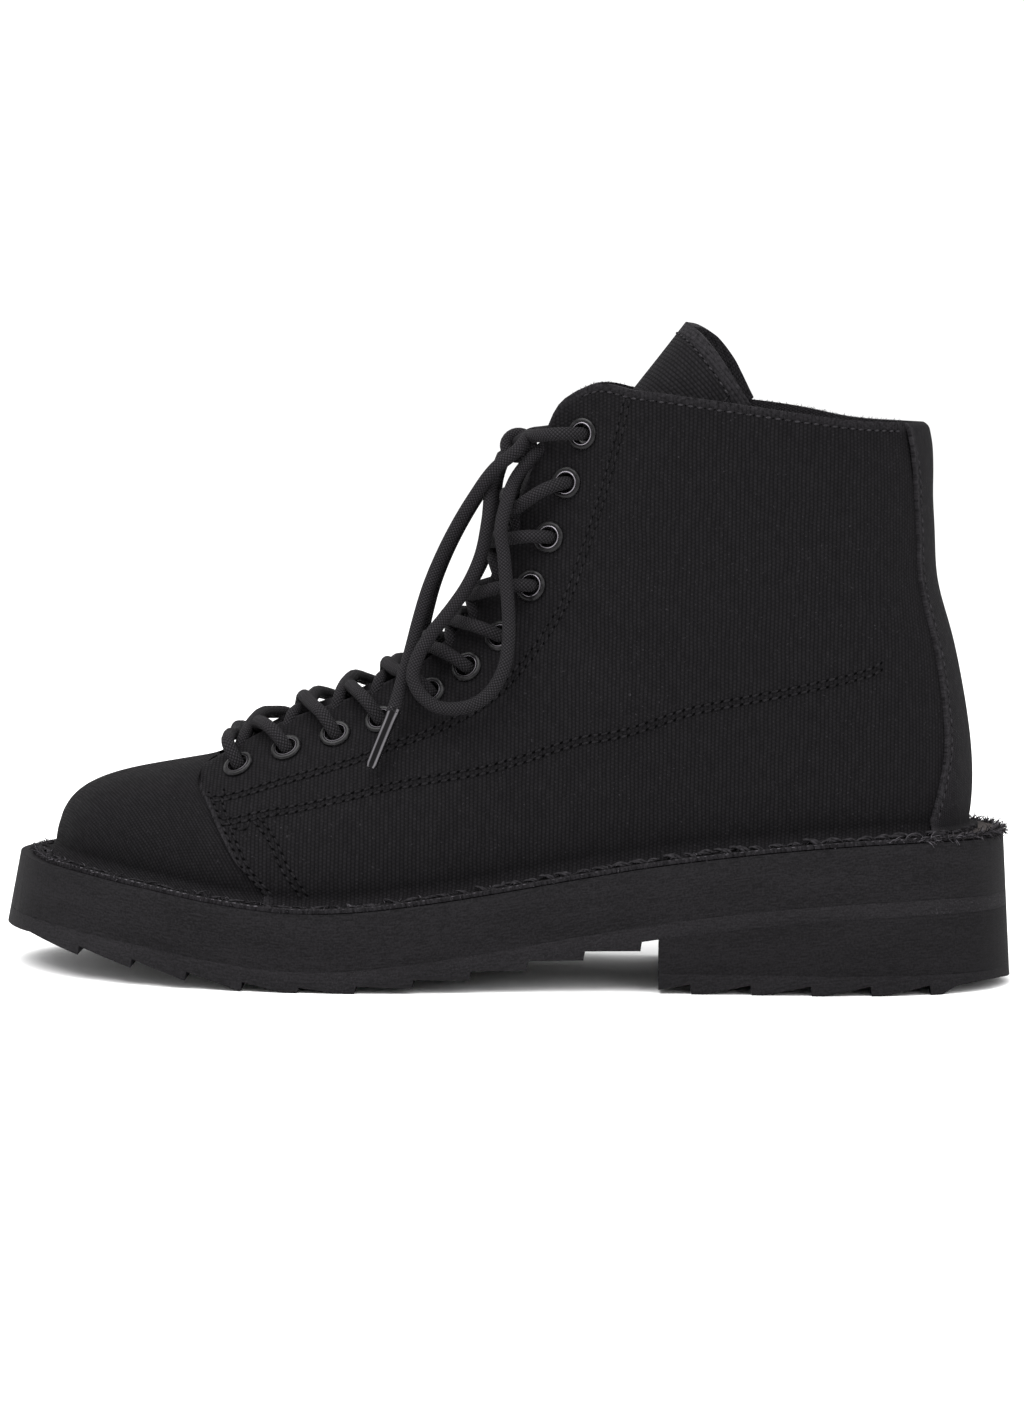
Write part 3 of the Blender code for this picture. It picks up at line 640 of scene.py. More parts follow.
def sandedLines():
    inputs = [("Cloth", "NodeSocketVector", None)]
    group, given, out = newGroup("sandedLines", inputs, ["Height", "Tone"])
    fine = noise(group, stretch(group, given["Cloth"], (0.3, 2.0, 1.0)), 1.0, 4.0, 0.7)
    broad = noise(group, stretch(group, given["Cloth"], (0.03, 0.16, 1.0), 2.0), 1.0, 3.0)
    grain = noise(group, given["Cloth"], 1.5, 3.0, 0.75)
    group.links.new(sums(group, "MULTIPLY_ADD", grain, 0.5, fine), out["Height"])
    mixed = sums(group, "MULTIPLY_ADD", fine, 0.36, times(group, broad, 0.12))
    group.links.new(sums(group, "MULTIPLY_ADD", grain, 0.52, mixed), out["Tone"])
    return group


weaveGroup, lintGroup, braidGroup, sandGroup = duckWeave(), lintSpecks(), braidPattern(), sandedLines()


def newFinish(name, roughness, **fixed):
    finish = bpy.data.materials.new(name)
    finish.use_nodes = True
    tree = finish.node_tree
    shader = tree.nodes["Principled BSDF"]
    shader.inputs["Roughness"].default_value = roughness
    for label, value in fixed.items():
        shader.inputs[label.replace("_", " ")].default_value = value
    place = put(tree, "ShaderNodeUVMap", uv_map="cloth").outputs[0]
    return finish, tree, shader, place


def bump(tree, shader, height, strength, distance):
    values = {"Height": height, "Strength": strength, "Distance": distance * mm}
    tree.links.new(put(tree, "ShaderNodeBump", values).outputs[0], shader.inputs["Normal"])


def grey(value):
    return (value * 1.03, value * 0.97, value * 1.07, 1.0)  # the photo's blacks lean a little to violet


def canvasFinish(name, dark, light, pitch=1.15, turn=0.0, lint=0.5, wearTone=0.022):
    finish, tree, shader, place = newFinish(
        name, 0.9, Specular_IOR_Level=0.03, Sheen_Weight=0.011, Sheen_Roughness=0.4
    )
    cloth = stretch(tree, place, (1.0, 1.0, 1.0), turn)
    weave = useGroup(tree, weaveGroup, Cloth=cloth, Pitch=pitch)
    specks = useGroup(tree, lintGroup, Cloth=cloth, Amount=lint)["Mask"]
    # painted shade and highlight: lighter on the thread tops and darker in the gaps of the weave, with an
    # uneven tone from thread to thread
    tone = times(tree, weave["Height"], spread(tree, weave["Thread"], 0.3, 0.7, 0.75, 1.15))
    colour = blend(tree, tone, grey(dark), grey(light))
    colour = blend(tree, specks, colour, grey(0.07))
    wear = ownValue(tree, "wear")
    fuzz = noise(tree, cloth, 0.9, 3.0, 0.7)
    worn = times(tree, wear, spread(tree, fuzz, 0.35, 0.7))
    colour = blend(tree, worn, colour, grey(wearTone))
    # painted shade: darker where the foot value says the cloth bends out onto the sole
    foot = ownValue(tree, "foot")
    colour = blend(tree, foot, colour, grey(dark * 0.5))
    raw = ownValue(tree, "raw")
    colour = blend(tree, times(tree, raw, spread(tree, fuzz, 0.2, 0.5)), colour, (0.06, 0.053, 0.051, 1))
    tree.links.new(colour, shader.inputs["Base Color"])
    tree.links.new(spread(tree, weave["Thread"], 0.3, 0.7, 0.95, 0.82), shader.inputs["Roughness"])
    bump(tree, shader, weave["Height"], 0.6, 0.36)
    return finish


def rubberFinish(name, dark, light, grains=0.2, scratch=0.35, paleBack=0.0):
    finish, tree, shader, place = newFinish(name, 0.7, Specular_IOR_Level=0.05)
    sand = useGroup(tree, sandGroup, Cloth=place)
    colour = blend(tree, spread(tree, sand["Tone"], 0.43, 0.57), grey(dark), grey(light))
    speckle = spread(tree, noise(tree, place, 1.3, 3.0, 0.8), 0.56, 0.72)
    patch = spread(tree, noise(tree, place, 0.06, 2.0), 0.4, 0.65)
    flecks = times(tree, times(tree, speckle, patch), grains)
    colour = blend(tree, flecks, colour, grey(light * 2.4))
    along = parted(tree, objectPlace(tree))[0]
    back = times(tree, spread(tree, along, 0.112, 0.15), times(tree, speckle, paleBack))
    colour = blend(tree, back, colour, grey(light * 4.0))
    tree.links.new(colour, shader.inputs["Base Color"])
    tree.links.new(spread(tree, sand["Tone"], 0.3, 0.7, 0.62, 0.86), shader.inputs["Roughness"])
    bump(tree, shader, sand["Height"], 0.6, scratch)
    return finish


def laceFinish():
    finish, tree, shader, place = newFinish(
        "laceBraid", 0.8, Specular_IOR_Level=0.05, Sheen_Weight=0.006, Sheen_Roughness=0.4
    )
    braid = useGroup(tree, braidGroup, Cloth=place, Strands=10.0, Lay=10.0)
    fibre = noise(tree, stretch(tree, place, (60.0, 2.4, 1.0)), 1.0, 2.0)
    # painted shade and highlight: the braid is lighter on the ridges of its strands and darker in the
    # grooves
    tone = times(tree, braid["Height"], spread(tree, fibre, 0.3, 0.7, 0.6, 1.2))
    colour = blend(tree, tone, grey(0.003), grey(0.0235))
    tree.links.new(colour, shader.inputs["Base Color"])
    tree.links.new(spread(tree, braid["Strand"], 0.0, 1.0, 0.7, 0.9), shader.inputs["Roughness"])
    bump(tree, shader, braid["Height"], 0.9, 0.45)
    return finish


def threadFinish(name, tone):
    finish, tree, shader, _ = newFinish(name, 0.8, Specular_IOR_Level=min(0.05, tone * 5))
    place = objectPlace(tree)
    strand = noise(tree, place, 900.0, 2.0)
    colour = blend(tree, spread(tree, strand, 0.3, 0.7), grey(tone * 0.5), grey(tone * 1.5))
    tree.links.new(colour, shader.inputs["Base Color"])
    bump(tree, shader, strand, 0.4, 0.2)
    return finish


def paintedMetal():
    finish, tree, shader, _ = newFinish(
        "eyeletPaint", 0.28, Specular_IOR_Level=0.12, Coat_Weight=0.08, Coat_Roughness=0.1
    )
    place = objectPlace(tree)
    rub = spread(tree, noise(tree, place, 700.0, 3.0), 0.5, 0.75)
    tree.links.new(blend(tree, rub, grey(0.004), grey(0.015)), shader.inputs["Base Color"])
    tree.links.new(spread(tree, rub, 0.0, 1.0, 0.28, 0.42), shader.inputs["Roughness"])
    return finish


def lipHighlightMetal():
    # painted highlight: a bright bare metal ring at each hole's lip, brighter on the upper eyelets than on
    # those near the toe
    finish, tree, shader, _ = newFinish("eyeletLip", 0.24, Metallic=1.0)
    place = objectPlace(tree)
    height = parted(tree, place)[2]
    colour = blend(tree, spread(tree, height, 0.09, 0.13), grey(0.045), grey(0.2))
    tree.links.new(colour, shader.inputs["Base Color"])
    return finish


def agletPlastic():
    finish, tree, shader, place = newFinish(
        "agletPlastic", 0.3, Specular_IOR_Level=0.04, Coat_Roughness=0.08
    )
    parts = parted(tree, place)
    # painted highlight: two pale, coated streaks round the sleeve stand in for its reflections
    wave = sums(tree, "SINE", sums(tree, "MULTIPLY_ADD", parts[0], 10 * math.pi, 2.2))
    highlightStreak = spread(tree, wave, 0.2, 1.0)
    tree.links.new(blend(tree, highlightStreak, grey(0.005), grey(0.075)), shader.inputs["Base Color"])
    tree.links.new(highlightStreak, shader.inputs["Coat Weight"])
    bump(tree, shader, wave, 0.4, 0.2)
    return finish


canvas = canvasFinish("quarterCanvas", 0.003, 0.009)
toeCanvas = canvasFinish("toeCanvas", 0.0031, 0.0094, turn=-22.0)
tongueCanvas = canvasFinish("tongueCanvas", 0.004, 0.012, turn=97.0)
stripCanvas = canvasFinish("stripCanvas", 0.004, 0.0125, pitch=0.8, lint=0.8, wearTone=0.026)
liningCanvas = canvasFinish("liningCanvas", 0.004, 0.012, pitch=0.8)
midsoleRubber = rubberFinish("midsoleRubber", 0.0044, 0.0122, grains=0.3)
outsoleRubber = rubberFinish("outsoleRubber", 0.0065, 0.0145, grains=0.8, scratch=0.5, paleBack=0.7)
heelRubber = rubberFinish("heelRubber", 0.004, 0.0105)
topPieceRubber = rubberFinish("topPieceRubber", 0.0055, 0.0125, grains=0.4, paleBack=0.3)
laceBraid = laceFinish()
seamThread = threadFinish("seamThread", 0.0082)
hemThread = threadFinish("hemThread", 0.019)
# painted shade: near-black for the discs at the stitch ends
stitchShade = threadFinish("stitchShadeDisc", 0.0013)
weltThread = threadFinish("weltThread", 0.018)
paleThread = threadFinish("paleThread", 0.07)
eyeletPaint = paintedMetal()
eyeletLip = lipHighlightMetal()
agletGloss = agletPlastic()
print("stage: finishes made")


# Lace: routes of the bow in millimetres, as the frame's own cords: along, out from the middle line, up.
laceSizes = {
    "radius": 1.95,
    "ring": 0.9,
    "sides": 14,
    "overMiddle": 3.6,
    "underMiddle": 0.2,
    "inHole": 1.2,
    "knot": (1.6, 0.0, 155.5),
}
laceSteps = {  # rise from the eyelet, and share of the way towards the edge
    "strand": [(-4.5, -0.3), (-1.2, -0.1), (1.8, 0.35), (3.4, 1.1)],
    "bar": [(-4.5, 0.0), (-1.2, 0.0), (2.0, 0.3), (4.0, 1.0)],
    "knot": [(-4.5, 0.0), (-1.2, 0.0), (2.0, 0.4), (3.5, 1.2)],
}
loopRoute = [
    (9.8, 16.5, 155.6),
    (5.8, 18.6, 152.0),
    (2.0, 20.8, 147.0),
    (-0.9, 26.5, 138.9),
    (-2.1, 30.0, 131.5),
    (-1.1, 31.0, 124.5),
    (-0.2, 32.0, 116.2),
    (0.6, 33.5, 107.7),
    (0.8, 36.0, 100.1),
    (-0.3, 38.0, 92.8),
    (-3.3, 38.6, 86.8),
    (-8.1, 38.6, 82.5),
    (-14.2, 38.2, 80.8),
    (-19.6, 37.6, 81.3),
    (-24.1, 37.0, 84.5),
    (-26.5, 36.0, 89.2),
    (-25.6, 34.4, 94.3),
    (-22.0, 32.0, 101.1),
    (-16.7, 29.0, 108.0),
    (-11.4, 26.5, 116.0),
    (-8.0, 25.0, 124.1),
    (-6.2, 23.5, 133.8),
    (-5.4, 18.5, 144.0),
    (-2.6, 9.0, 152.5),
]
endRoute = [
    (5.2, 7.0, 158.6),
    (4.6, 14.5, 158.0),
    (2.0, 20.5, 154.6),
    (-4.3, 22.5, 149.2),
    (-10.6, 21.0, 140.3),
    (-16.0, 19.5, 131.0),
    (-20.2, 19.0, 122.2),
    (-23.5, 20.5, 113.5),
    (-25.8, 23.5, 105.0),
    (-27.7, 27.5, 96.6),
    (-29.4, 31.5, 89.6),
    (-31.1, 35.0, 82.7),
    (-32.2, 37.0, 79.0),
]
agletRoute = [(-31.6, 36.4, 80.2), (-35.2, 39.3, 71.0), (-38.0, 41.0, 63.6)]


def onSide(route, side):
    return np.array([(x, float(middleY(x)) + side * y, z) for x, y, z in route])


def lacePath(points):
    count = max(8, int(lengths(np.array(points))[-1] / laceSizes["ring"]))
    return smoothRoute(points, count)


def laceSweep(path):
    return sweep(path, laceSizes["radius"], laceSizes["sides"])


def freeCords():
    for side, name in bothSides:
        loopPath = lacePath(onSide(loopRoute, side))
        endPath = lacePath(onSide(endRoute, side))
        loop = joinSweeps(f"laceLoop_{name}", [laceSweep(loopPath)])
        end = joinSweeps(f"laceEnd_{name}", [laceSweep(endPath)])
        sleevePath = smoothRoute(onSide(agletRoute, side), 16)
        thin = np.interp(np.linspace(0, 1, 16), [0, 0.08, 0.16, 0.94, 1.0], [2.0, 2.0, 1.8, 1.75, 1.4])
        aglet = joinSweeps(f"agletSleeve_{name}", [sweep(sleevePath, thin, 14)])
        dress(loop, "lace_cord", laceBraid, f"lace_loop_{name}")
        dress(end, "lace_cord", laceBraid, f"lace_end_{name}")
        dress(aglet, "aglet_plastic", agletGloss, f"aglet_{name}")
        print("lace loop", round(lengths(loopPath)[-1]), "mm, end", round(lengths(endPath)[-1]), "mm")


def towards(a, b, reach):
    return (b - a) / np.linalg.norm(b - a) * reach


def outOfEyelet(side, number, edge, reach, steps):
    # from inside an eyelet, up through it and over to the facing's edge
    around, up = seat(side, number)
    normal, hole = faceNormal(around, up), skin(around, up, laceSizes["inHole"])
    lead = towards(hole, edge, reach)
    return [hole + normal * rise + lead * ahead for rise, ahead in steps] + [edge]


def strandPath(side, number):
    # out over the facing's edge, over the middle, and under the other facing
    here, back = edgeShare(number), edgeShare(number - 1)
    rise = laceSizes["overMiddle"] if (number + (side == outer)) % 2 else laceSizes["underMiddle"]
    lean = {9: 0.85, 7: 0.6}.get(number, 0.4)
    nearEdge = skin(aroundOf(side, here + (back - here) * lean), 1.0, 3.9)
    middle = acrossThroat(here + (back - here) * 0.62, rise, 0.5)
    farEdge = skin(aroundOf(-side, here + (back - here) * 0.9), 1.0, 0.4)
    under = skin(aroundOf(-side, back), 0.93, -1.6)
    return outOfEyelet(side, number, nearEdge, 3.2, laceSteps["strand"]) + [middle, farEdge, under]


def edgePath(side, number, raised, reach, steps):
    edge = skin(aroundOf(side, edgeShare(number)), 1.0, raised)
    return outOfEyelet(side, number, edge, reach, steps)


def barPath():
    start, end = (edgePath(side, 0, 4.6, 3.4, laceSteps["bar"]) for side in (outer, inner))
    return start + [acrossThroat(edgeShare(0), 3.4, 0.5)] + end[::-1]


def knotPaths():
    knot = np.array(laceSizes["knot"])
    paths = []
    for side in (outer, inner):
        path = edgePath(side, len(eyelets) - 1, 4.2, 3.2, laceSteps["knot"])
        ends = [(2.6, side * 8.5, 2.6), (-0.5, side * 1.0, 0.5)]
        paths.append(path + [knot + np.array(shift) for shift in ends])
    return paths


def laceThroughEyelets():
    strands = [barPath()]
    for number in range(1, len(eyelets) - 1):
        strands += [strandPath(side, number) for side in (outer, inner)]
    sweeps = [laceSweep(lacePath(points)) for points in strands]
    dress(joinSweeps("laceCrossings", sweeps), "lace_cord", laceBraid, "lace")


def bowKnot():
    # the runs from the top eyelets, and two turns of lace wound round the middle of the bow
    knot = np.array(laceSizes["knot"])
    turn = np.linspace(0, 2 * math.pi, 26)
    sweeps = [laceSweep(lacePath(points)) for points in knotPaths()]
    for shift, lean in ((-2.2, 0.5), (2.2, -0.4)):
        wrap = [3.5 * np.cos(turn), shift + lean * 3.0 * np.sin(turn), 3.2 * np.sin(turn)]
        wrap = np.stack(wrap, -1) + knot
        sweeps.append(laceSweep(wrap))
    dress(joinSweeps("bowKnot", sweeps), "lace_cord", laceBraid, "lace_knot")


freeCords()
laceThroughEyelets()
bowKnot()
print("stage: lace run")


# Upper: quarters over the toe panel, both turned out at the foot.
upperSizes = {
    "columns": 300,
    "rows": 96,
    "toeColumns": 190,
    "flangeRows": 12,
    "fillet": 4.6,
    "flangeThick": 1.0,
    "cornerThick": 0.25,
    "flangeSide": 7.7,
    "flangeToe": 7.4,
    "flangeHeel": 12.2,
    "hole": 3.25,
    "underlap": 0.045,
    "quarterThick": 2.2,
    "toeThick": 1.9,
    "startUp": 0.035,
    "wornRows": 3,
    "heelX": 85.0,
    "toeTop": 64.0,
}
creases = [  # side, from x and z, to x and z, depth, width; troughs are minus, ridges plus
    (outer, (4.0, 108.0), (46.0, 92.0), -0.9, 8.0),
    (outer, (-6.0, 96.0), (40.0, 78.0), 0.7, 8.0),
    (outer, (20.0, 128.0), (52.0, 118.0), -0.6, 8.0),
    (outer, (-66.0, 40.0), (-50.0, 62.0), -0.6, 5.0),
    (outer, (-50.0, 38.0), (-34.0, 60.0), 0.4, 6.0),
    (outer, (92.0, 62.0), (112.0, 84.0), -0.6, 8.0),
    (outer, (60.0, 150.0), (96.0, 140.0), 0.6, 12.0),
    (inner, (2.0, 110.0), (44.0, 96.0), -1.1, 8.0),
    (inner, (-4.0, 96.0), (36.0, 82.0), 0.8, 8.0),
    (inner, (-62.0, 40.0), (-46.0, 60.0), -0.7, 5.0),
    (inner, (18.0, 130.0), (56.0, 122.0), -0.6, 9.0),
    (outer, (-128.0, 44.0), (-96.0, 50.0), 0.3, 7.0),
    (outer, (108.0, 118.0), (136.0, 118.0), -1.7, 13.0),
    (inner, (108.0, 118.0), (136.0, 118.0), -1.7, 13.0),
    (outer, (104.0, 152.0), (132.0, 152.0), 0.9, 8.0),
    (inner, (104.0, 152.0), (132.0, 152.0), 0.9, 8.0),
]


def creaseDepth(points):
    depth = np.zeros(points.shape[:-1])
    flat = points[..., (0, 2)]
    for side, start, end, amount, width in creases:
        a, b = np.array(start), np.array(end)
        t = np.clip(((flat - a) @ (b - a)) / ((b - a) @ (b - a)), 0, 1)
        far = np.linalg.norm(flat - a - t[..., None] * (b - a), axis=-1)
        ends = np.sin(math.pi * np.clip(t, 0.04, 0.96)) ** 0.6
        depth += np.where(points[..., 1] * side > 0, amount * ends * np.exp(-((far / width) ** 2)), 0.0)
    return depth


def flangeReach(outX):
    end = np.where(outX > 0, upperSizes["flangeHeel"], upperSizes["flangeToe"])
    return upperSizes["flangeSide"] + (end - upperSizes["flangeSide"]) * outX * outX


def outFrom(base, away):
    # out from the wall's foot, square to it
    return base[..., 0] + base[..., 2] * away, base[..., 1] + base[..., 3] * away


def turnedOut(around, q):
    # the flange: q runs from its edge, 0, to the wall, 1, with a fillet at the wall
    base = featherAt(around)
    away = flangeReach(base[..., 2]) * (1.0 - q)
    x, y = outFrom(base, away)
    near = np.clip(upperSizes["fillet"] - away, 0, None)
    rise = upperSizes["fillet"] - np.sqrt(np.clip(upperSizes["fillet"] ** 2 - near ** 2, 0, None))
    return np.stack([x, y, rimHeight(x) + lastSizes["gap"] + rise], -1)


def wallGrid(around, top=1.0):
    # rows of the flange and then of the wall; around is rows by columns
    flange = upperSizes["flangeRows"]
    ups = np.linspace(upperSizes["startUp"], top, len(around) - flange)
    low = turnedOut(around[:flange], np.linspace(0, 1, flange, endpoint=False)[:, None] ** 0.7)
    high = onRib(around[flange:], ups[:, None])
    return np.concatenate([low, high]), np.concatenate([np.zeros(flange), ups])


def sideCloth(points):
    # cloth laid along the side of the foot, eased round the heel and over the instep
    columns = points.shape[1]
    u = points[..., 0].copy()
    climb = np.linalg.norm(np.diff(points[..., 1:], axis=0), axis=-1)
    v = points[:1, :, 2] + np.vstack([np.zeros((1, columns)), np.cumsum(climb, axis=0)])
    for half in (slice(0, columns // 2 + 1), slice(columns - 1, columns // 2 - 1, -1)):
        x = points[:, half, 0]
        step = np.linalg.norm(np.diff(points[:, half, :2], axis=1), axis=-1)
        run = np.hstack([np.zeros((len(x), 1)), np.cumsum(step, axis=1)])
        for row in range(len(x)):
            back = x[row] > upperSizes["heelX"]
            k = int(np.argmax(back))
            u[row, half] = np.where(back, x[row, k] + run[row] - run[row, k], x[row])
    return np.stack([u, v], -1)


def toeCloth(points, around):
    base = featherAt(around)
    drop = upperSizes["toeTop"] - points[..., 2]
    return np.stack([points[..., 0] + base[..., 2] * drop, points[..., 1] + base[..., 3] * drop], -1)


def setValues(piece, name, values):
    layer = piece.data.attributes.new(name, "FLOAT", "POINT")
    layer.data.foreach_set("value", np.asarray(values, np.float32).ravel())


def setFootShade(piece, around, ups, fade):
    # painted shade: the cloth is darker where it bends out onto the sole, where shade falls under the wall
    dark = np.where(ups > 0, 0.42 * np.exp(-((ups * fade) ** 2)), 0.0)
    setValues(piece, "foot", dark[:, None] * np.ones_like(around))


def setThickness(piece, around, ups, full):
    # the flange and the tight corner at the throat are thin, the wall has the full thickness
    group = piece.vertex_groups.new(name="thick")
    wall = np.clip((np.arange(len(ups)) - upperSizes["flangeRows"] + 3) / 6, 0, 1)[:, None]
    share = sideAndShare(around)[1]
    corner = np.clip((share - 0.685) / 0.025, 0, 1) * np.clip((ups[:, None] - 0.55) / 0.2, 0, 1)
    thick = upperSizes["flangeThick"] * (1 - wall) + full * wall
    thick = thick * (1 - corner) + upperSizes["cornerThick"] * corner
    for index, value in enumerate(thick.ravel()):
        group.add([index], float(value / full), "REPLACE")


def cutEyeletHoles(piece):
    middles = np.array([face.center for face in piece.data.polygons]) / mm
    chosen = np.zeros(len(middles), bool)
    for side in (outer, inner):
        for number in range(len(eyelets)):
            around, up = seat(side, number)
            chosen |= np.linalg.norm(middles - skin(around, up, 1.0), axis=1) < upperSizes["hole"]
    piece.data.polygons.foreach_set("select", chosen)
    editMesh(piece, lambda: bpy.ops.mesh.delete(type="FACE"))


def upperRows():
    # rows of the flange, then of the wall, as shares up the wall
    return np.concatenate([np.zeros(upperSizes["flangeRows"]), np.linspace(0.0, 1.0, upperSizes["rows"])])


def wornFoot(around):
    return (np.arange(len(around)) < upperSizes["wornRows"])[:, None] * np.ones_like(around)


def makeQuarters():
    place = np.linspace(-1, 1, upperSizes["columns"])
    around = tableAt(toeSeam, upperRows())[:, 0][:, None] * place[None, :]
    grid, ups = wallGrid(around)
    creased = creaseDepth(grid) * np.clip(ups[:, None] * 6, 0, 1) * (1 - ups[:, None] ** 8)
    raised = lastSizes["quarterStep"] + creased
    piece = gridPiece("quarters", grid + gridNormals(grid) * raised[..., None], sideCloth(grid))
    nearFront = np.exp(-((1 - np.abs(place)) * 300.0 / 2.5) ** 2)[None, :]
    nearTop = np.exp(-((1 - ups) * 130.0 / 1.6) ** 2)[:, None]
    setValues(piece, "wear", np.clip(nearFront + nearTop + wornFoot(around), 0, 1))
    flat = (np.arange(len(ups)) < upperSizes["flangeRows"] - 3)[:, None]
    setValues(piece, "raw", np.exp(-((around / 0.045) ** 2)) * flat)
    setFootShade(piece, around, ups, 14.0)
    setThickness(piece, around, ups, upperSizes["quarterThick"])
    cutEyeletHoles(piece)
    return piece


def makeToePanel():
    start = tableAt(toeSeam, upperRows())[:, 0] - upperSizes["underlap"]
    place = np.linspace(0, 1, upperSizes["toeColumns"])
    around = start[:, None] + (2.0 - 2.0 * start)[:, None] * place[None, :]
    grid, ups = wallGrid(around, 1.05)  # runs on a little under the lace
    under = np.clip((tableAt(toeSeam, ups)[:, 0][:, None] - sideAndShare(around)[1]) / 0.02, 0, 1)
    wallShare = np.clip(ups * 6, 0, 1)[:, None]
    # close under the quarters' thin corners
    lift = 0.95 * np.clip((ups - 0.55) / 0.25, 0, 1)[:, None] - 0.4
    raised = creaseDepth(grid) * wallShare + lift * under * wallShare + 0.85 * (1 - wallShare)
    piece = gridPiece("toePanel", grid + gridNormals(grid) * raised[..., None], toeCloth(grid, around))
    setValues(piece, "wear", wornFoot(around))
    setFootShade(piece, around, ups, 7.0)
    setThickness(piece, around, ups, upperSizes["toeThick"])
    return piece


def finishWall(piece, thickness):
    applyModifier(
        piece, "SOLIDIFY", thickness=thickness * mm, offset=-1.0, material_offset=1, vertex_group="thick"
    )
    smoothByAngle(piece, 50.0)


quarters = makeQuarters()
dress(quarters, "canvas", [canvas, liningCanvas], "upper")
finishWall(quarters, upperSizes["quarterThick"])
toePanel = makeToePanel()
dress(toePanel, "canvas", [toeCanvas, liningCanvas], "upper")
finishWall(toePanel, upperSizes["toeThick"])
print("stage: upper made")


# Strip over the heel seam.
stripSizes = {"columns": 40, "rows": 90, "thickness": 1.3, "raised": 2.2, "round": 330.0}
stripEdge = [  # up, share
    (0.02, 0.081),
    (0.14, 0.071),
    (0.24, 0.062),
    (0.42, 0.056),
    (0.70, 0.057),
    (0.86, 0.057),
    (1.00, 0.066),
]


def makeBackstay():
    foot = np.linspace(0.55, 1.0, 9, endpoint=False)
    ups = np.concatenate([np.zeros(len(foot)), 1.0 - 0.965 * np.linspace(1, 0, stripSizes["rows"]) ** 1.5])
    half = tableAt(stripEdge, ups)[:, 0]
    place = np.linspace(-1, 1, stripSizes["columns"])
    around = half[:, None] * place[None, :]
    low = turnedOut(around[: len(foot)], foot[:, None])
    grid = np.concatenate([low, onRib(around[len(foot):], ups[len(foot):, None])])
    curl = 0.5 * np.exp(-(((ups - 0.965) / 0.03) ** 2)) - 1.5 * np.clip((ups - 0.985) / 0.015, 0, 1) ** 2.5
    crown = 0.25 * np.cos(math.pi * place[None, :] / 2)
    raised = stripSizes["raised"] + crown + curl[:, None] + creaseDepth(grid)
    along = lengths(grid[:, len(place) // 2])
    cloth = np.stack([around * stripSizes["round"], along[:, None] * np.ones_like(around)], -1)
    normal = gridNormals(grid)
    normal *= np.sign((normal * (grid - np.array([60.0, 0.0, 90.0]))).sum(-1).mean())
    piece = gridPiece("heelStrip", grid + normal * raised[..., None], cloth)
    setValues(piece, "wear", np.exp(-((1 - np.abs(place)) * 19 / 1.6) ** 2)[None, :] * np.ones_like(around))
    dress(piece, "strip_canvas", [stripCanvas, stripCanvas], "backstay")
    applyModifier(piece, "SOLIDIFY", thickness=stripSizes["thickness"] * mm, offset=-1.0)
    softenEdges(piece, 0.4, 55.0)
    smoothByAngle(piece, 50.0)


makeBackstay()


# Tongue: rows under the facings, then free rows above them.
tongueSizes = {"columns": 61, "rows": 150, "thickness": 2.3, "depth": -2.8}
tongueFront = [(-93.0, 55.6, 10.0, 2.0, 3.0)]  # x, z, half, back, drop
tongueTop = [
    (25.6, 160.1, 25.5, 22.0, 8.0),
    (35.4, 173.2, 27.0, 26.0, 13.0),
    (43.2, 183.4, 27.0, 22.0, 18.0),
    (49.9, 192.3, 26.5, 19.0, 23.5),
]


def freeRow(row, columns=11):
    # a row round the shin; the inner half bulges more than the outer one
    x, z, half, back, drop = row
    turn = np.radians(np.linspace(-90, 90, columns))
    fall = 1 - np.cos(turn)
    high = np.clip((z - 160.0) / 32.0, 0, 1)
    far = (turn > 0) * high
    backs = back * (1 + 0.1 * far)
    drops = drop * (1 - 0.07 * far) * fall ** (1 + 0.3 * high + 0.8 * far)
    return np.stack([x + backs * fall, float(middleY(x)) + half * np.sin(turn), z - drops], -1)


def tongueRows():
    depth = tongueSizes["depth"]
    shares = np.linspace(0.690, 0.424, 60)
    along = lengths(onRib(shares, 1.0))
    rows = [freeRow(row) for row in tongueFront]
    for place in np.linspace(0.0, 0.93, 9):
        share = float(np.interp(place * along[-1], along, shares))
        ups = np.array([0.8, 0.87, 0.94, 1.0])
        outerSide = skin(np.full(4, aroundOf(outer, share)), ups, np.full(4, depth))
        innerSide = skin(np.full(4, aroundOf(inner, share)), ups[::-1], np.full(4, depth))
        middle = [acrossThroat(share, depth, t) for t in (0.25, 0.5, 0.75)]
        rows.append(np.vstack([outerSide, middle, innerSide]))
    return rows + [freeRow(row) for row in tongueTop]


def makeTongue():
    rows = np.array(tongueRows())
    fine = np.stack([smoothRoute(rows[:, k], tongueSizes["rows"]) for k in range(rows.shape[1])], axis=1)
    grid = np.stack([smoothRoute(row, tongueSizes["columns"]) for row in fine])
    u = np.linspace(-30, 30, tongueSizes["columns"])[None, :] * np.ones((tongueSizes["rows"], 1))
    v = lengths(grid[:, tongueSizes["columns"] // 2])[:, None] * np.ones((1, tongueSizes["columns"]))
    piece = gridPiece("tongue_canvas", grid, np.stack([u, v], -1), inside=(120.0, 0.0, 20.0))
    rim = np.zeros((tongueSizes["rows"], tongueSizes["columns"]))
    rim[-3:] = 1.0
    rim[:, :2] = rim[:, -2:] = 1.0
    setValues(piece, "wear", rim)
    dress(piece, "tongue_canvas", [tongueCanvas, liningCanvas], "tongue")
    thickness = tongueSizes["thickness"] * mm
    applyModifier(piece, "SOLIDIFY", thickness=thickness, offset=-1.0, material_offset=1)
    softenEdges(piece, 0.6, 55.0)
    smoothByAngle(piece, 50.0)
    return grid


tongueGrid = makeTongue()
print("stage: tongue and strip made")


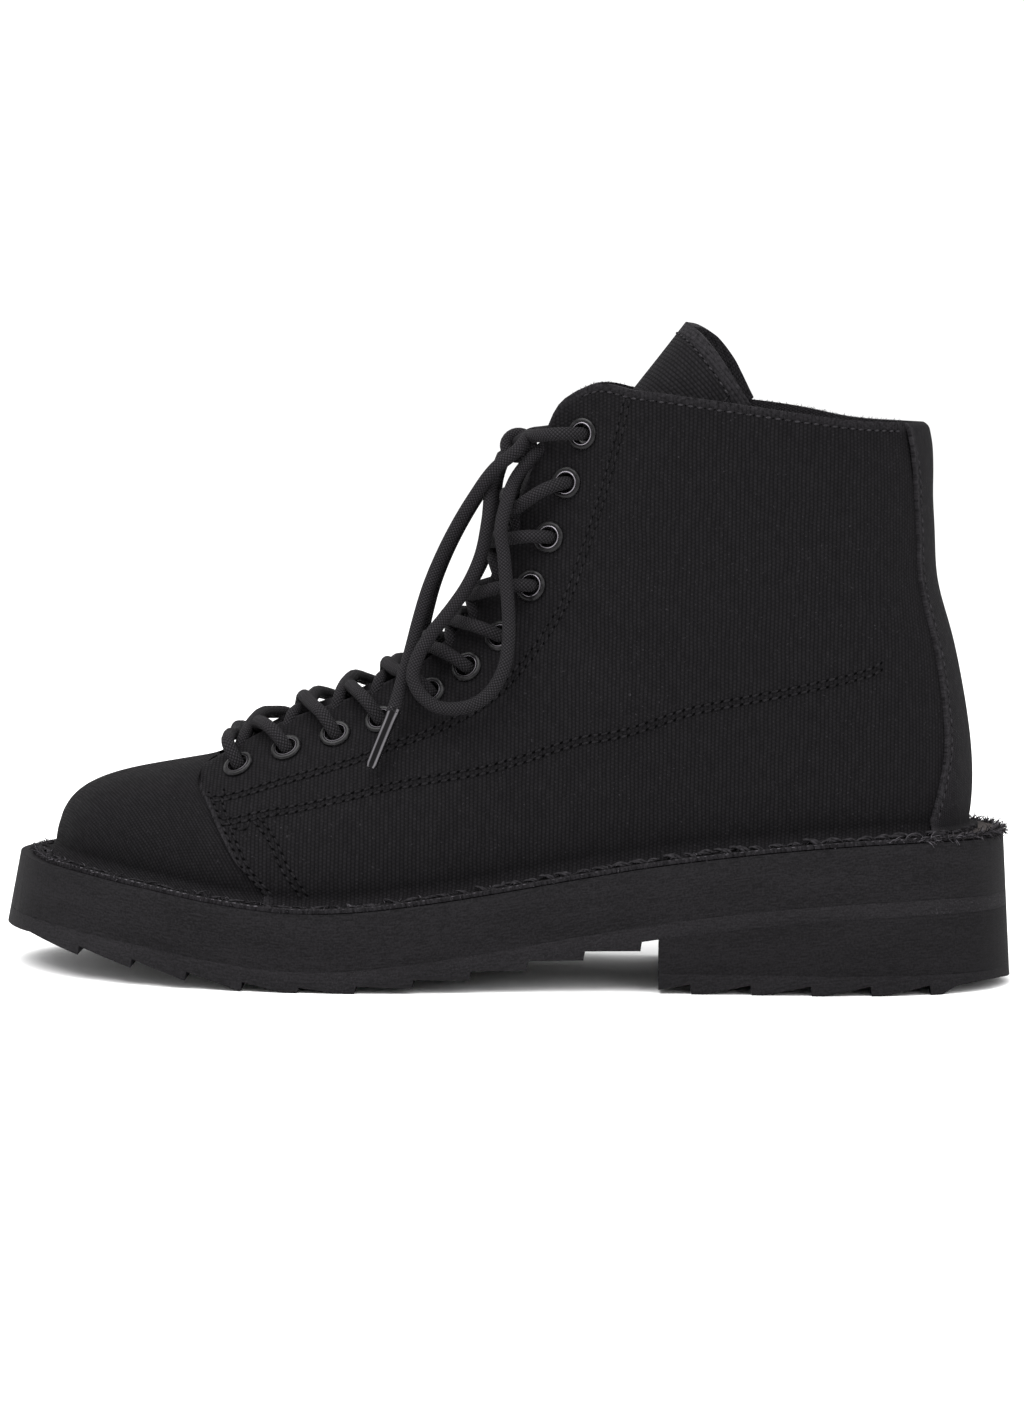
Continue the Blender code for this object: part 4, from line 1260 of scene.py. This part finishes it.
# Eyelets: a rolled rim on a barrel, one modelled and set on every seat.
eyeletSizes = {
    "rim": 3.8,
    "roll": 0.9,
    "flat": 0.75,
    "bore": 2.7,
    "sheet": 0.3,
    "depth": 4.6,
    "raised": 1.35,
    "lip": 3.14,
    "lipRoll": 0.28,
    "lipHigh": 0.36,
}


def newRing(rim, roll, steps, high=0.0):
    return fromPrimitive(
        bpy.ops.mesh.primitive_torus_add, major_radius=rim * mm, minor_radius=roll * mm,
        major_segments=32, minor_segments=steps, location=(0, 0, high * mm),
    )


def unitEyelet():
    ring = newRing(eyeletSizes["rim"], eyeletSizes["roll"], 10)
    ring.scale = (1, 1, eyeletSizes["flat"])
    applyTransform()
    barrel = fromPrimitive(
        bpy.ops.mesh.primitive_cylinder_add, vertices=32, end_fill_type="NOTHING",
        radius=(eyeletSizes["bore"] + eyeletSizes["sheet"]) * mm, depth=eyeletSizes["depth"] * mm,
        location=(0, 0, -eyeletSizes["depth"] * 0.5 * mm),
    )
    applyTransform()
    applyModifier(barrel, "SOLIDIFY", thickness=eyeletSizes["sheet"] * mm, offset=-1.0)
    activate(ring)
    barrel.select_set(True)
    bpy.ops.object.join()
    return ring


def unitLip():
    lip = newRing(eyeletSizes["lip"], eyeletSizes["lipRoll"], 8, eyeletSizes["lipHigh"])
    applyTransform()
    return lip


def axesOf(normal, lead):
    normal = normal / np.linalg.norm(normal)
    lead = lead - normal * (lead @ normal)
    lead /= np.linalg.norm(lead)
    return np.array([lead, np.cross(normal, lead), normal])


def makeEyelets():
    for side, name in bothSides:
        turns = []
        for number in range(len(eyelets)):
            around, up = seat(side, number)
            place = skin(around, up, eyeletSizes["raised"])
            turns.append((place, axesOf(faceNormal(around, up), np.array([1.0, 0.0, 0.3]))))
        nodes = [f"eyelet_{name}_{number + 1:02d}" for number in range(len(eyelets))]
        dress(scatter(f"eyelets_{name}", unitEyelet(), turns), "eyelet_metal", eyeletPaint, *nodes)
        # the bright lip rings: a painted highlight at the edge of each hole
        dress(scatter(f"eyeletLips_{name}", unitLip(), turns), "eyelet_metal", eyeletLip, *nodes)


makeEyelets()
print("stage: eyelets set")


# Stitching: short threads along lines on the upper, given as share and up.
stitchSizes = {
    "long": 2.2,
    "gap": 0.6,
    "half": 0.42,
    "high": 0.42,
    "raised": 1.08,
    "rowApart": 1.9,
    # radius of the dark discs of painted shade at the stitch ends
    "hole": 0.43,
    "slot": ((1.5,), (0.8,), (1.0,)),
    "fadeFrom": 85.0,
    "fadeOver": 35.0,
}
seamLines = {
    "eyestay": [
        (0.357, 0.985), (0.368, 0.90), (0.388, 0.775), (0.4125, 0.65), (0.4325, 0.60), (0.475, 0.575),
        (0.5625, 0.58), (0.59, 0.59), (0.6275, 0.575), (0.675, 0.56), (0.727, 0.575),
    ],
    "side": [
        (0.728, 0.405), (0.695, 0.42), (0.66, 0.41), (0.6225, 0.415), (0.585, 0.41), (0.4925, 0.345),
        (0.395, 0.305), (0.30, 0.37), (0.2075, 0.415), (0.145, 0.45), (0.125, 0.47),
    ],
    "toeBack": [(0.6925, 0.41), (0.6875, 0.285), (0.6825, 0.14), (0.668, 0.02)],
    "tackFront": [(0.722, 0.38), (0.706, 0.36), (0.695, 0.415)],
}


def unitStitch():
    stitch = fromPrimitive(bpy.ops.mesh.primitive_uv_sphere_add, segments=8, ring_count=5, radius=1.0)
    stitch.rotation_euler = (0, math.pi / 2, 0)
    applyTransform()
    stitch.scale = (stitchSizes["long"] / 2 * mm, stitchSizes["half"] * mm, stitchSizes["high"] * mm)
    applyTransform()
    return stitch


def stitchTurns(line, normals, size, fade):
    along = lengths(line)
    step = stitchSizes["long"] + stitchSizes["gap"]
    turns, shadeDiscs = [], []
    for at in np.arange(step / 2, along[-1], step):
        i = min(max(int(np.searchsorted(along, at)), 1), len(line) - 1)
        lead = line[i] - line[i - 1]
        lead /= np.linalg.norm(lead)
        normal, place = lineAt(normals, along, at), lineAt(line, along, at)
        across = np.cross(normal, lead)
        turns.append((place, axesOf(normal, lead + normal * 0.07 + across * 0.12) * size))
        # the dark discs of painted shade at the stitch ends get smaller up the leg, where the seams sink in
        faint = 1.0 - fade * np.clip((place[2] - stitchSizes["fadeFrom"]) / stitchSizes["fadeOver"], 0, 1)
        slot = axesOf(normal, lead + across * 0.45) * np.array(stitchSizes["slot"]) * size ** 2.5
        shadeDiscs.append((place + lead * step / 2 + normal * 0.04, slot * faint))
    return turns, shadeDiscs


def unitShadeDisc():
    return fromPrimitive(
        bpy.ops.mesh.primitive_circle_add, vertices=8, radius=stitchSizes["hole"] * mm, fill_type="NGON"
    )


def onUpper(sharesAndUps, side, raised, shift=0.0):
    route = np.array(sharesAndUps, float)
    places = np.linspace(0, len(route) - 1, 240)
    fine = hermiteAt(np.arange(len(route), dtype=float), route, places)
    around = aroundOf(side, fine[:, 0])
    normal = faceNormal(around, fine[:, 1])
    base = onRib(around, fine[:, 1])
    line = base + normal * (raised + creaseDepth(base))[:, None]
    run = np.gradient(line, axis=0)
    run /= np.linalg.norm(run, axis=1)[:, None]
    return line + np.cross(normal, run) * shift, normal


def edgeLine(table, inset, low, high):
    ups = np.linspace(low, high, 60)
    share = tableAt(table, ups)[:, 0]
    here = onRib(share, ups)
    there = onRib(share - 0.01, ups)
    perMm = 0.01 / np.linalg.norm(there - here, axis=1)
    return np.stack([share - inset * perMm, ups], -1)


def alongRim(values, inset=4, low=104):
    top = values[-inset, inset:-inset]
    return np.vstack([values[low:-inset, inset], top, values[-inset:low:-1, -inset - 1]])


def tongueHem():
    facing = gridNormals(tongueGrid)
    facing *= np.sign((facing * (tongueGrid - tongueGrid.mean((0, 1)))).sum(-1).mean())
    normal = alongRim(facing)
    return alongRim(tongueGrid) + normal * 0.1, normal


def makeStitches():
    half, raised = stitchSizes["rowApart"] / 2, stitchSizes["raised"]
    dark, pale = [], []
    for side in (outer, inner):
        for name in ("eyestay", "side", "toeBack"):
            dark += [onUpper(seamLines[name], side, raised, shift) for shift in (-half, half)]
        dark.append(onUpper(seamLines["tackFront"], side, raised))
        for inset in (1.9, 3.8):
            dark.append(onUpper(edgeLine(toeSeam, inset, 0.02, 0.61), side, raised))
        collar = np.stack([np.linspace(0.075, 0.392, 80), np.full(80, 0.983)], -1)
        pale.append(onUpper(collar, side, raised))
        pale.append(onUpper(edgeLine(stripEdge, 1.7, 0.04, 0.985), side, stripSizes["raised"] + 0.14))
    pale.append(tongueHem())
    allShadeDiscs = []
    for name, rows, finish, size, fade in (
        ("seamStitches", dark, seamThread, 0.97, 0.4),
        ("hemStitches", pale, hemThread, 0.75, 0.0),
    ):
        turns = []
        for line, normal in rows:
            rowTurns, rowShadeDiscs = stitchTurns(line, normal, size, fade)
            turns += rowTurns
            allShadeDiscs += rowShadeDiscs
        dress(scatter(name, unitStitch(), turns), "canvas", finish)
        print(name, len(turns))
    # near-black discs at each stitch end: painted shade where the thread dips into the cloth
    dress(scatter("stitchShadeDiscs", unitShadeDisc(), allShadeDiscs), "canvas", stitchShade)


makeStitches()


# Edge stitched down to the sole: cord stitches along the wall, and frayed threads at the raw edge.
weltSizes = {
    "pitch": 5.1,
    "thread": 0.5,
    "arch": 0.95,
    "fromWall": 4.2,
    "edgePitch": 2.1,
    "frays": 2600,
    "heelFrays": 1300,
    "toeFrays": 500,
    "cordFrays": 1700,
    "collarFuzz": 700,
    "stripFuzz": 420,
}


def unitWeltStitch():
    # one stitch of two strands twisted round each other
    t = np.linspace(0, 1, 9)
    along = (t - 0.5) * weltSizes["pitch"] * 1.15
    middle = np.stack([along, 0.5 * np.sin(2 * math.pi * t), weltSizes["arch"] * np.sin(math.pi * t)], -1)
    strands = []
    for phase in (0.0, math.pi):
        twist = phase + 5.0 * t
        path = middle + 0.42 * np.stack([np.zeros(9), np.cos(twist), np.sin(twist)], -1)
        strands.append(sweep(path, weltSizes["thread"] * (0.7 + 0.3 * np.sin(math.pi * t)), 7)[:2])
    return arrayPiece("weltStitch", *joinArrays(strands))


def onFlange(around, away):
    base = featherAt(around)
    x, y = outFrom(base, away)
    return np.stack([x, y, rimHeight(x) + lastSizes["gap"] + lastSizes["quarterStep"]], -1)


def makeWeltStitches():
    around = np.linspace(0, 2, 900)
    line = onFlange(around, weltSizes["fromWall"])
    along = lengths(line)
    upright = np.array([0, 0, 1.0])
    turns = []
    count = int(along[-1] / weltSizes["pitch"])
    for at in (np.arange(count) + dice.uniform(-0.16, 0.16, count)) * weltSizes["pitch"]:
        place, ahead = lineAt(line, along, at), lineAt(line, along, at + 2)
        wobble = dice.normal(0, 0.24, 3)
        # the stitches sink into the cloth towards the toe
        forward = np.clip((place[0] + 40.0) / 40.0, 0, 1)
        size = dice.uniform(0.7, 1.15) * np.array([[1.0], [0.6 + 0.4 * forward], [0.3 + 0.6 * forward]])
        turns.append((place, axesOf(upright + wobble, ahead - place + wobble) * size))
    dress(scatter("weltStitches", unitWeltStitch(), turns), "canvas", weltThread)
    # a row of short pale stitches right at the edge
    line = onFlange(around, flangeReach(featherAt(around)[:, 2]) - 0.5)
    along = lengths(line)
    beads = []
    for at in np.arange(0, along[-1], weltSizes["edgePitch"]):
        place = lineAt(line, along, at) - np.array([0, 0, 0.1])
        lead = lineAt(line, along, at + 1) - place + dice.normal(0, 0.12, 3)
        beads.append((place, axesOf(upright, lead) * dice.uniform(0.3, 0.6)))
    dress(scatter("edgeStitches", unitStitch(), beads), "canvas", paleThread)


def unitFray():
    t = np.linspace(0, 1, 4)
    path = np.stack([1.9 * t, 0.5 * t * t, 0.35 * np.sin(2.6 * t)], -1)
    points, faces, _ = sweep(path, 0.14 * (1.15 - t), 3)
    return arrayPiece("fray", points, faces)


def frayTurn(spot, lead, size):
    return spot, axesOf(np.array([0, 0, 1.0]) + dice.normal(0, 0.5, 3), lead) * size


def makeFrays():
    # along the raw edge all round, thicker and longer at the heel, and fine ones in the cord stitches
    dark, pale = [], []
    for name, around, inset, drop, rise, low, high, paleShare in (
        ("edge", dice.uniform(0, 2, weltSizes["frays"]), None, 1.2, 0.15, 0.35, 0.9, 0.1),
        ("toe", dice.normal(1.0, 0.1, weltSizes["toeFrays"]), None, 0.8, 0.4, 0.4, 1.1, 0.2),
        ("heel", dice.normal(0, 0.055, weltSizes["heelFrays"]) % 2.0, None, 1.0, 0.5, 0.5, 1.8, 0.35),
        (
            "cord", dice.uniform(0, 2, weltSizes["cordFrays"]), weltSizes["fromWall"],
            -0.6, 0.5, 0.3, 0.8, 0.3,
        ),
    ):
        base = featherAt(around)
        away = flangeReach(base[:, 2]) - dice.uniform(0.0, 1.2, len(around))
        if inset is not None:
            away = inset + dice.normal(0, 0.8, len(around))
        spots = onFlange(around, away)
        spots[:, 2] -= drop * dice.uniform(0.0, 1.0, len(around))
        outward = 0.1 if inset is not None else 1.0
        for spot, foot in zip(spots, base):
            lead = np.array([foot[2] * outward, foot[3] * outward, rise]) + dice.normal(0, 0.6, 3)
            chosen = pale if dice.uniform() < paleShare else dark
            chosen.append(frayTurn(spot, lead, dice.uniform(low, high)))
        print("frays", name, len(spots))
    dress(scatter("frayedThreads", unitFray(), dark), "canvas", weltThread)
    dress(scatter("paleThreads", unitFray(), pale), "canvas", paleThread)


def makeFuzz():
    # short loose fibres along the collar and the strip's raw edges
    collar = dice.uniform(0.07, 0.40, weltSizes["collarFuzz"])
    collar = np.where(dice.uniform(0, 1, len(collar)) < 0.5, collar, 2.0 - collar)
    stripUps = dice.uniform(0.05, 1.0, weltSizes["stripFuzz"])
    stripSides = np.where(dice.uniform(0, 1, len(stripUps)) < 0.5, -1.0, 1.0)
    stripSides *= tableAt(stripEdge, stripUps)[:, 0]
    stripTop = dice.uniform(-0.066, 0.066, weltSizes["stripFuzz"] // 2)
    around = np.concatenate([collar, stripSides, stripTop])
    ups = np.concatenate([np.ones(len(collar)), stripUps, np.full(len(stripTop), 0.99)])
    onStrip = np.full(len(stripUps) + len(stripTop), stripSizes["raised"] - 0.3)
    raised = np.concatenate([np.full(len(collar), 0.9), onStrip])
    normals = faceNormal(around, ups)
    spots = onRib(around, ups) + normals * raised[:, None]
    turns = []
    for spot, normal in zip(spots, normals):
        lead = normal * 0.5 + np.array([0.0, 0.0, 0.5]) + dice.normal(0, 0.6, 3)
        turns.append((spot, axesOf(dice.normal(0, 1.0, 3), lead) * dice.uniform(0.2, 0.55)))
    dress(scatter("edgeFuzz", unitFray(), turns), "canvas", hemThread)


makeWeltStitches()
makeFrays()
makeFuzz()
print("stage: stitched edge made")


# Sole: side views cut to the outline, as on the frame, with fine outlines and softened edges.
soleSizes = {
    "midsole": 16.4,
    "outsole": 4.2,
    "breastX": 45.5,
    "topPiece": 5.6,
    "toothPitch": 16.25,
    "toothDepth": 2.6,
    "firstToothX": 40.2,
    "teeth": 11,
    "heelPitch": 17.3,
    "heelToothX": 55.0,
    "heelLand": 3.2,
    "heelRise": 2.9,
    "heelLip": [(7.5, 2.3), (14.5, 3.2), (21.5, 2.9), (25.0, 2.2), (90.0, 2.2)],
    "heelStart": 1.2,
    "heelTeeth": 5,
    "toothStep": 0.4,
    "far": 170.0,
    "outline": 130,
    "tuck": 0.25,
    "edge": 0.45,
    "edgeAngle": 38.0,
}


def outlineRing(z):
    ring = []
    for side in (outer, inner):
        half = evenLine(np.hstack([rim[side], rimOut[side]]), soleSizes["outline"])
        ring.append(half[:-1] if side == outer else half[:0:-1])
    x, y, outX, outY = np.vstack(ring).T
    flare = np.where(outX > 0, lastSizes["flareHeel"], lastSizes["flareToe"]) * outX * outX
    grow = flare * (rimHeight(x) - z)
    return np.stack([x + outX * grow, y + outY * grow, np.full(len(x), z)], -1)


def filledOutline(points, way):
    # a filled outline, drawn out along way
    piece = fromPrimitive(
        bpy.ops.mesh.primitive_circle_add, vertices=len(points), radius=1.0, fill_type="NGON"
    )
    piece.data.vertices.foreach_set("co", (points * mm).ravel())
    editMesh(
        piece,
        lambda: bpy.ops.mesh.select_all(action="SELECT"),
        lambda: bpy.ops.mesh.extrude_region_move(TRANSFORM_OT_translate={"value": way}),
    )
    return piece


def outlineCutter():
    low, high = outlineRing(-20.0), outlineRing(80.0)
    cutter = filledOutline(low, (0, 0, 0.1))
    places = placesOf(cutter)
    for i in np.where(places[:, 2] > 0.03)[0]:
        k = int(np.argmin(np.linalg.norm(low[:, :2] * mm - places[i, :2], axis=1)))
        places[i] = high[k] * mm
    cutter.data.vertices.foreach_set("co", places.ravel())
    mergeAndTurnOut(cutter, 1e-7)
    return cutter


def layerLine(start, end, drop, count=60):
    x = np.linspace(start, end, count)
    return list(zip(x, rimHeight(x) - drop))


def toothLine(drop):
    line = [(-soleSizes["far"], float(rimHeight(rimX(1.0))) - drop)]
    for number in reversed(range(soleSizes["teeth"])):
        deepX = soleSizes["firstToothX"] - number * soleSizes["toothPitch"]
        backX = deepX - soleSizes["toothPitch"]
        start = (backX + soleSizes["toothStep"], float(rimHeight(backX)) - drop)
        end = (deepX, float(rimHeight(deepX)) - drop - soleSizes["toothDepth"])
        line.append(start)
        if end[1] < 0:
            cross = start[1] / (start[1] - end[1])
            line.append((start[0] + (end[0] - start[0]) * cross, 0.0))
            end = (end[0], 0.0)
        line.append(end)
    return line + layerLine(soleSizes["firstToothX"] + soleSizes["toothStep"], soleSizes["far"], drop, 20)


def heelToothLine():
    rise, step, pitch = soleSizes["heelRise"], soleSizes["toothStep"], soleSizes["heelPitch"]
    line = [(soleSizes["breastX"], soleSizes["heelStart"]), (soleSizes["heelToothX"] - step, rise)]
    for number in range(soleSizes["heelTeeth"]):
        start = soleSizes["heelToothX"] + number * pitch
        line += [(start, 0.0), (start + soleSizes["heelLand"], 0.0), (start + pitch - step, rise)]
    # the last tooth is hollowed up to the lip of the heel's back
    return line[:-1] + [(start + beyond, height) for beyond, height in soleSizes["heelLip"]]


def sideSlab(name, top, bottom):
    outline = np.array([*top, *reversed(bottom)])
    flat = np.stack([outline[:, 0], np.full(len(outline), -80.0), outline[:, 1]], -1)
    piece = filledOutline(flat, (0, 0.16, 0))
    piece.name = piece.data.name = name
    mergeAndTurnOut(piece, 1e-7)
    return piece


def soleCloth(piece):
    # along the outline and down from the rim on the sides, flat on the top and the underside
    mesh = piece.data
    points = meshArrays(piece)[0]
    loop = np.vstack([rim[outer], rim[inner][::-1]])
    along = lengths(loop)
    near = np.concatenate([
        np.argmin(((part[:, None, :2] - loop[None]) ** 2).sum(-1), axis=1)
        for part in np.array_split(points, 12)
    ])
    u, v = along[near], rimHeight(points[:, 0]) - points[:, 2]
    layer = clothLayer(mesh)
    values = np.zeros((len(mesh.loops), 2), np.float32)
    for face in mesh.polygons:
        index = list(face.vertices)
        if abs(face.normal.z) > 0.6:
            values[list(face.loop_indices)] = points[index, :2]
        else:
            first = u[index[0]]
            wrapped = first + (u[index] - first + along[-1] / 2) % along[-1] - along[-1] / 2
            values[list(face.loop_indices)] = np.stack([wrapped, v[index]], -1)
    layer.data.foreach_set("uv", values.ravel())


def makeSole():
    cutter = outlineCutter()
    far, gap, tuck = soleSizes["far"], lastSizes["gap"], soleSizes["tuck"]
    outTop = soleSizes["midsole"] + gap
    outLow = outTop + soleSizes["outsole"]
    breast, topPiece = soleSizes["breastX"], soleSizes["topPiece"]
    layers = {  # top line, bottom line, finish, slot
        "midsole": (
            layerLine(-far, far, 0.0),
            layerLine(-far, far, soleSizes["midsole"]),
            midsoleRubber,
            "midsole_rubber",
        ),
        "outsole": (
            layerLine(-far, far, outTop - tuck),
            toothLine(outLow),
            outsoleRubber,
            "outsole_rubber",
        ),
        "heel_block": (
            layerLine(breast, far, outLow + 0.05, 20),
            [(x, topPiece + gap) for x in (breast, far)],
            heelRubber,
            "heel_rubber",
        ),
        "heel_top_piece": (
            [(x, topPiece + tuck) for x in (breast, far)],
            heelToothLine(),
            topPieceRubber,
            "top_piece_rubber",
        ),
    }
    for node, (top, bottom, finish, slotName) in layers.items():
        piece = sideSlab("sole_" + node, top, bottom)
        applyModifier(piece, "BOOLEAN", operation="INTERSECT", solver="EXACT", object=cutter)
        softenEdges(piece, soleSizes["edge"], soleSizes["edgeAngle"])
        soleCloth(piece)
        smoothByAngle(piece, soleSizes["edgeAngle"])
        dress(piece, slotName, finish, node)
    bpy.data.objects.remove(cutter)


makeSole()
print("stage: sole made")


# Insole: the frame's own solid with a finish.
def insoleFinish():
    finish, tree, shader, _ = newFinish("insoleBoard", 0.7)
    place = objectPlace(tree)
    grain = noise(tree, place, 260.0, 4.0, 0.6)
    tan, pale = (0.05, 0.036, 0.026, 1), (0.10, 0.075, 0.052, 1)
    colour = blend(tree, spread(tree, grain, 0.3, 0.7), tan, pale)
    tree.links.new(colour, shader.inputs["Base Color"])
    bump(tree, shader, grain, 0.3, 0.3)
    return finish


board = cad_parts["insole"]
board.data.materials.clear()
board.data.materials.append(insoleFinish())


# Studio: pale floor and soft light.
studio = {"floor": 30.0, "world": 1.12, "key": 42.0, "fill": 10.0}


def makeStudio():
    floor = fromPrimitive(bpy.ops.mesh.primitive_plane_add, size=studio["floor"])
    floor.name = "studioFloor"
    white = (0.96, 0.96, 0.96, 1)
    floor.data.materials.append(newFinish("studioPaper", 0.95, Base_Color=white, Specular_IOR_Level=0.1)[0])
    world = bpy.data.worlds.new("studioWorld")
    world.use_nodes = True
    background = world.node_tree.nodes["Background"].inputs
    background["Color"].default_value = (1, 1, 1, 1)
    background["Strength"].default_value = studio["world"]
    bpy.context.scene.world = world
    for name, place, size, power in (
        ("keyLight", (-0.5, -0.5, 1.5), 1.6, studio["key"]),
        ("fillLight", (0.9, -0.9, 0.9), 1.2, studio["fill"]),
    ):
        bpy.ops.object.light_add(type="AREA", location=place)
        light = bpy.context.object
        light.name = name
        light.data.size = size
        light.data.energy = power
        light.rotation_euler = (Vector((0, 0, 0.06)) - Vector(place)).to_track_quat("-Z", "Y").to_euler()
    bpy.context.scene.view_settings.view_transform = "Standard"


makeStudio()

print("stage: done")
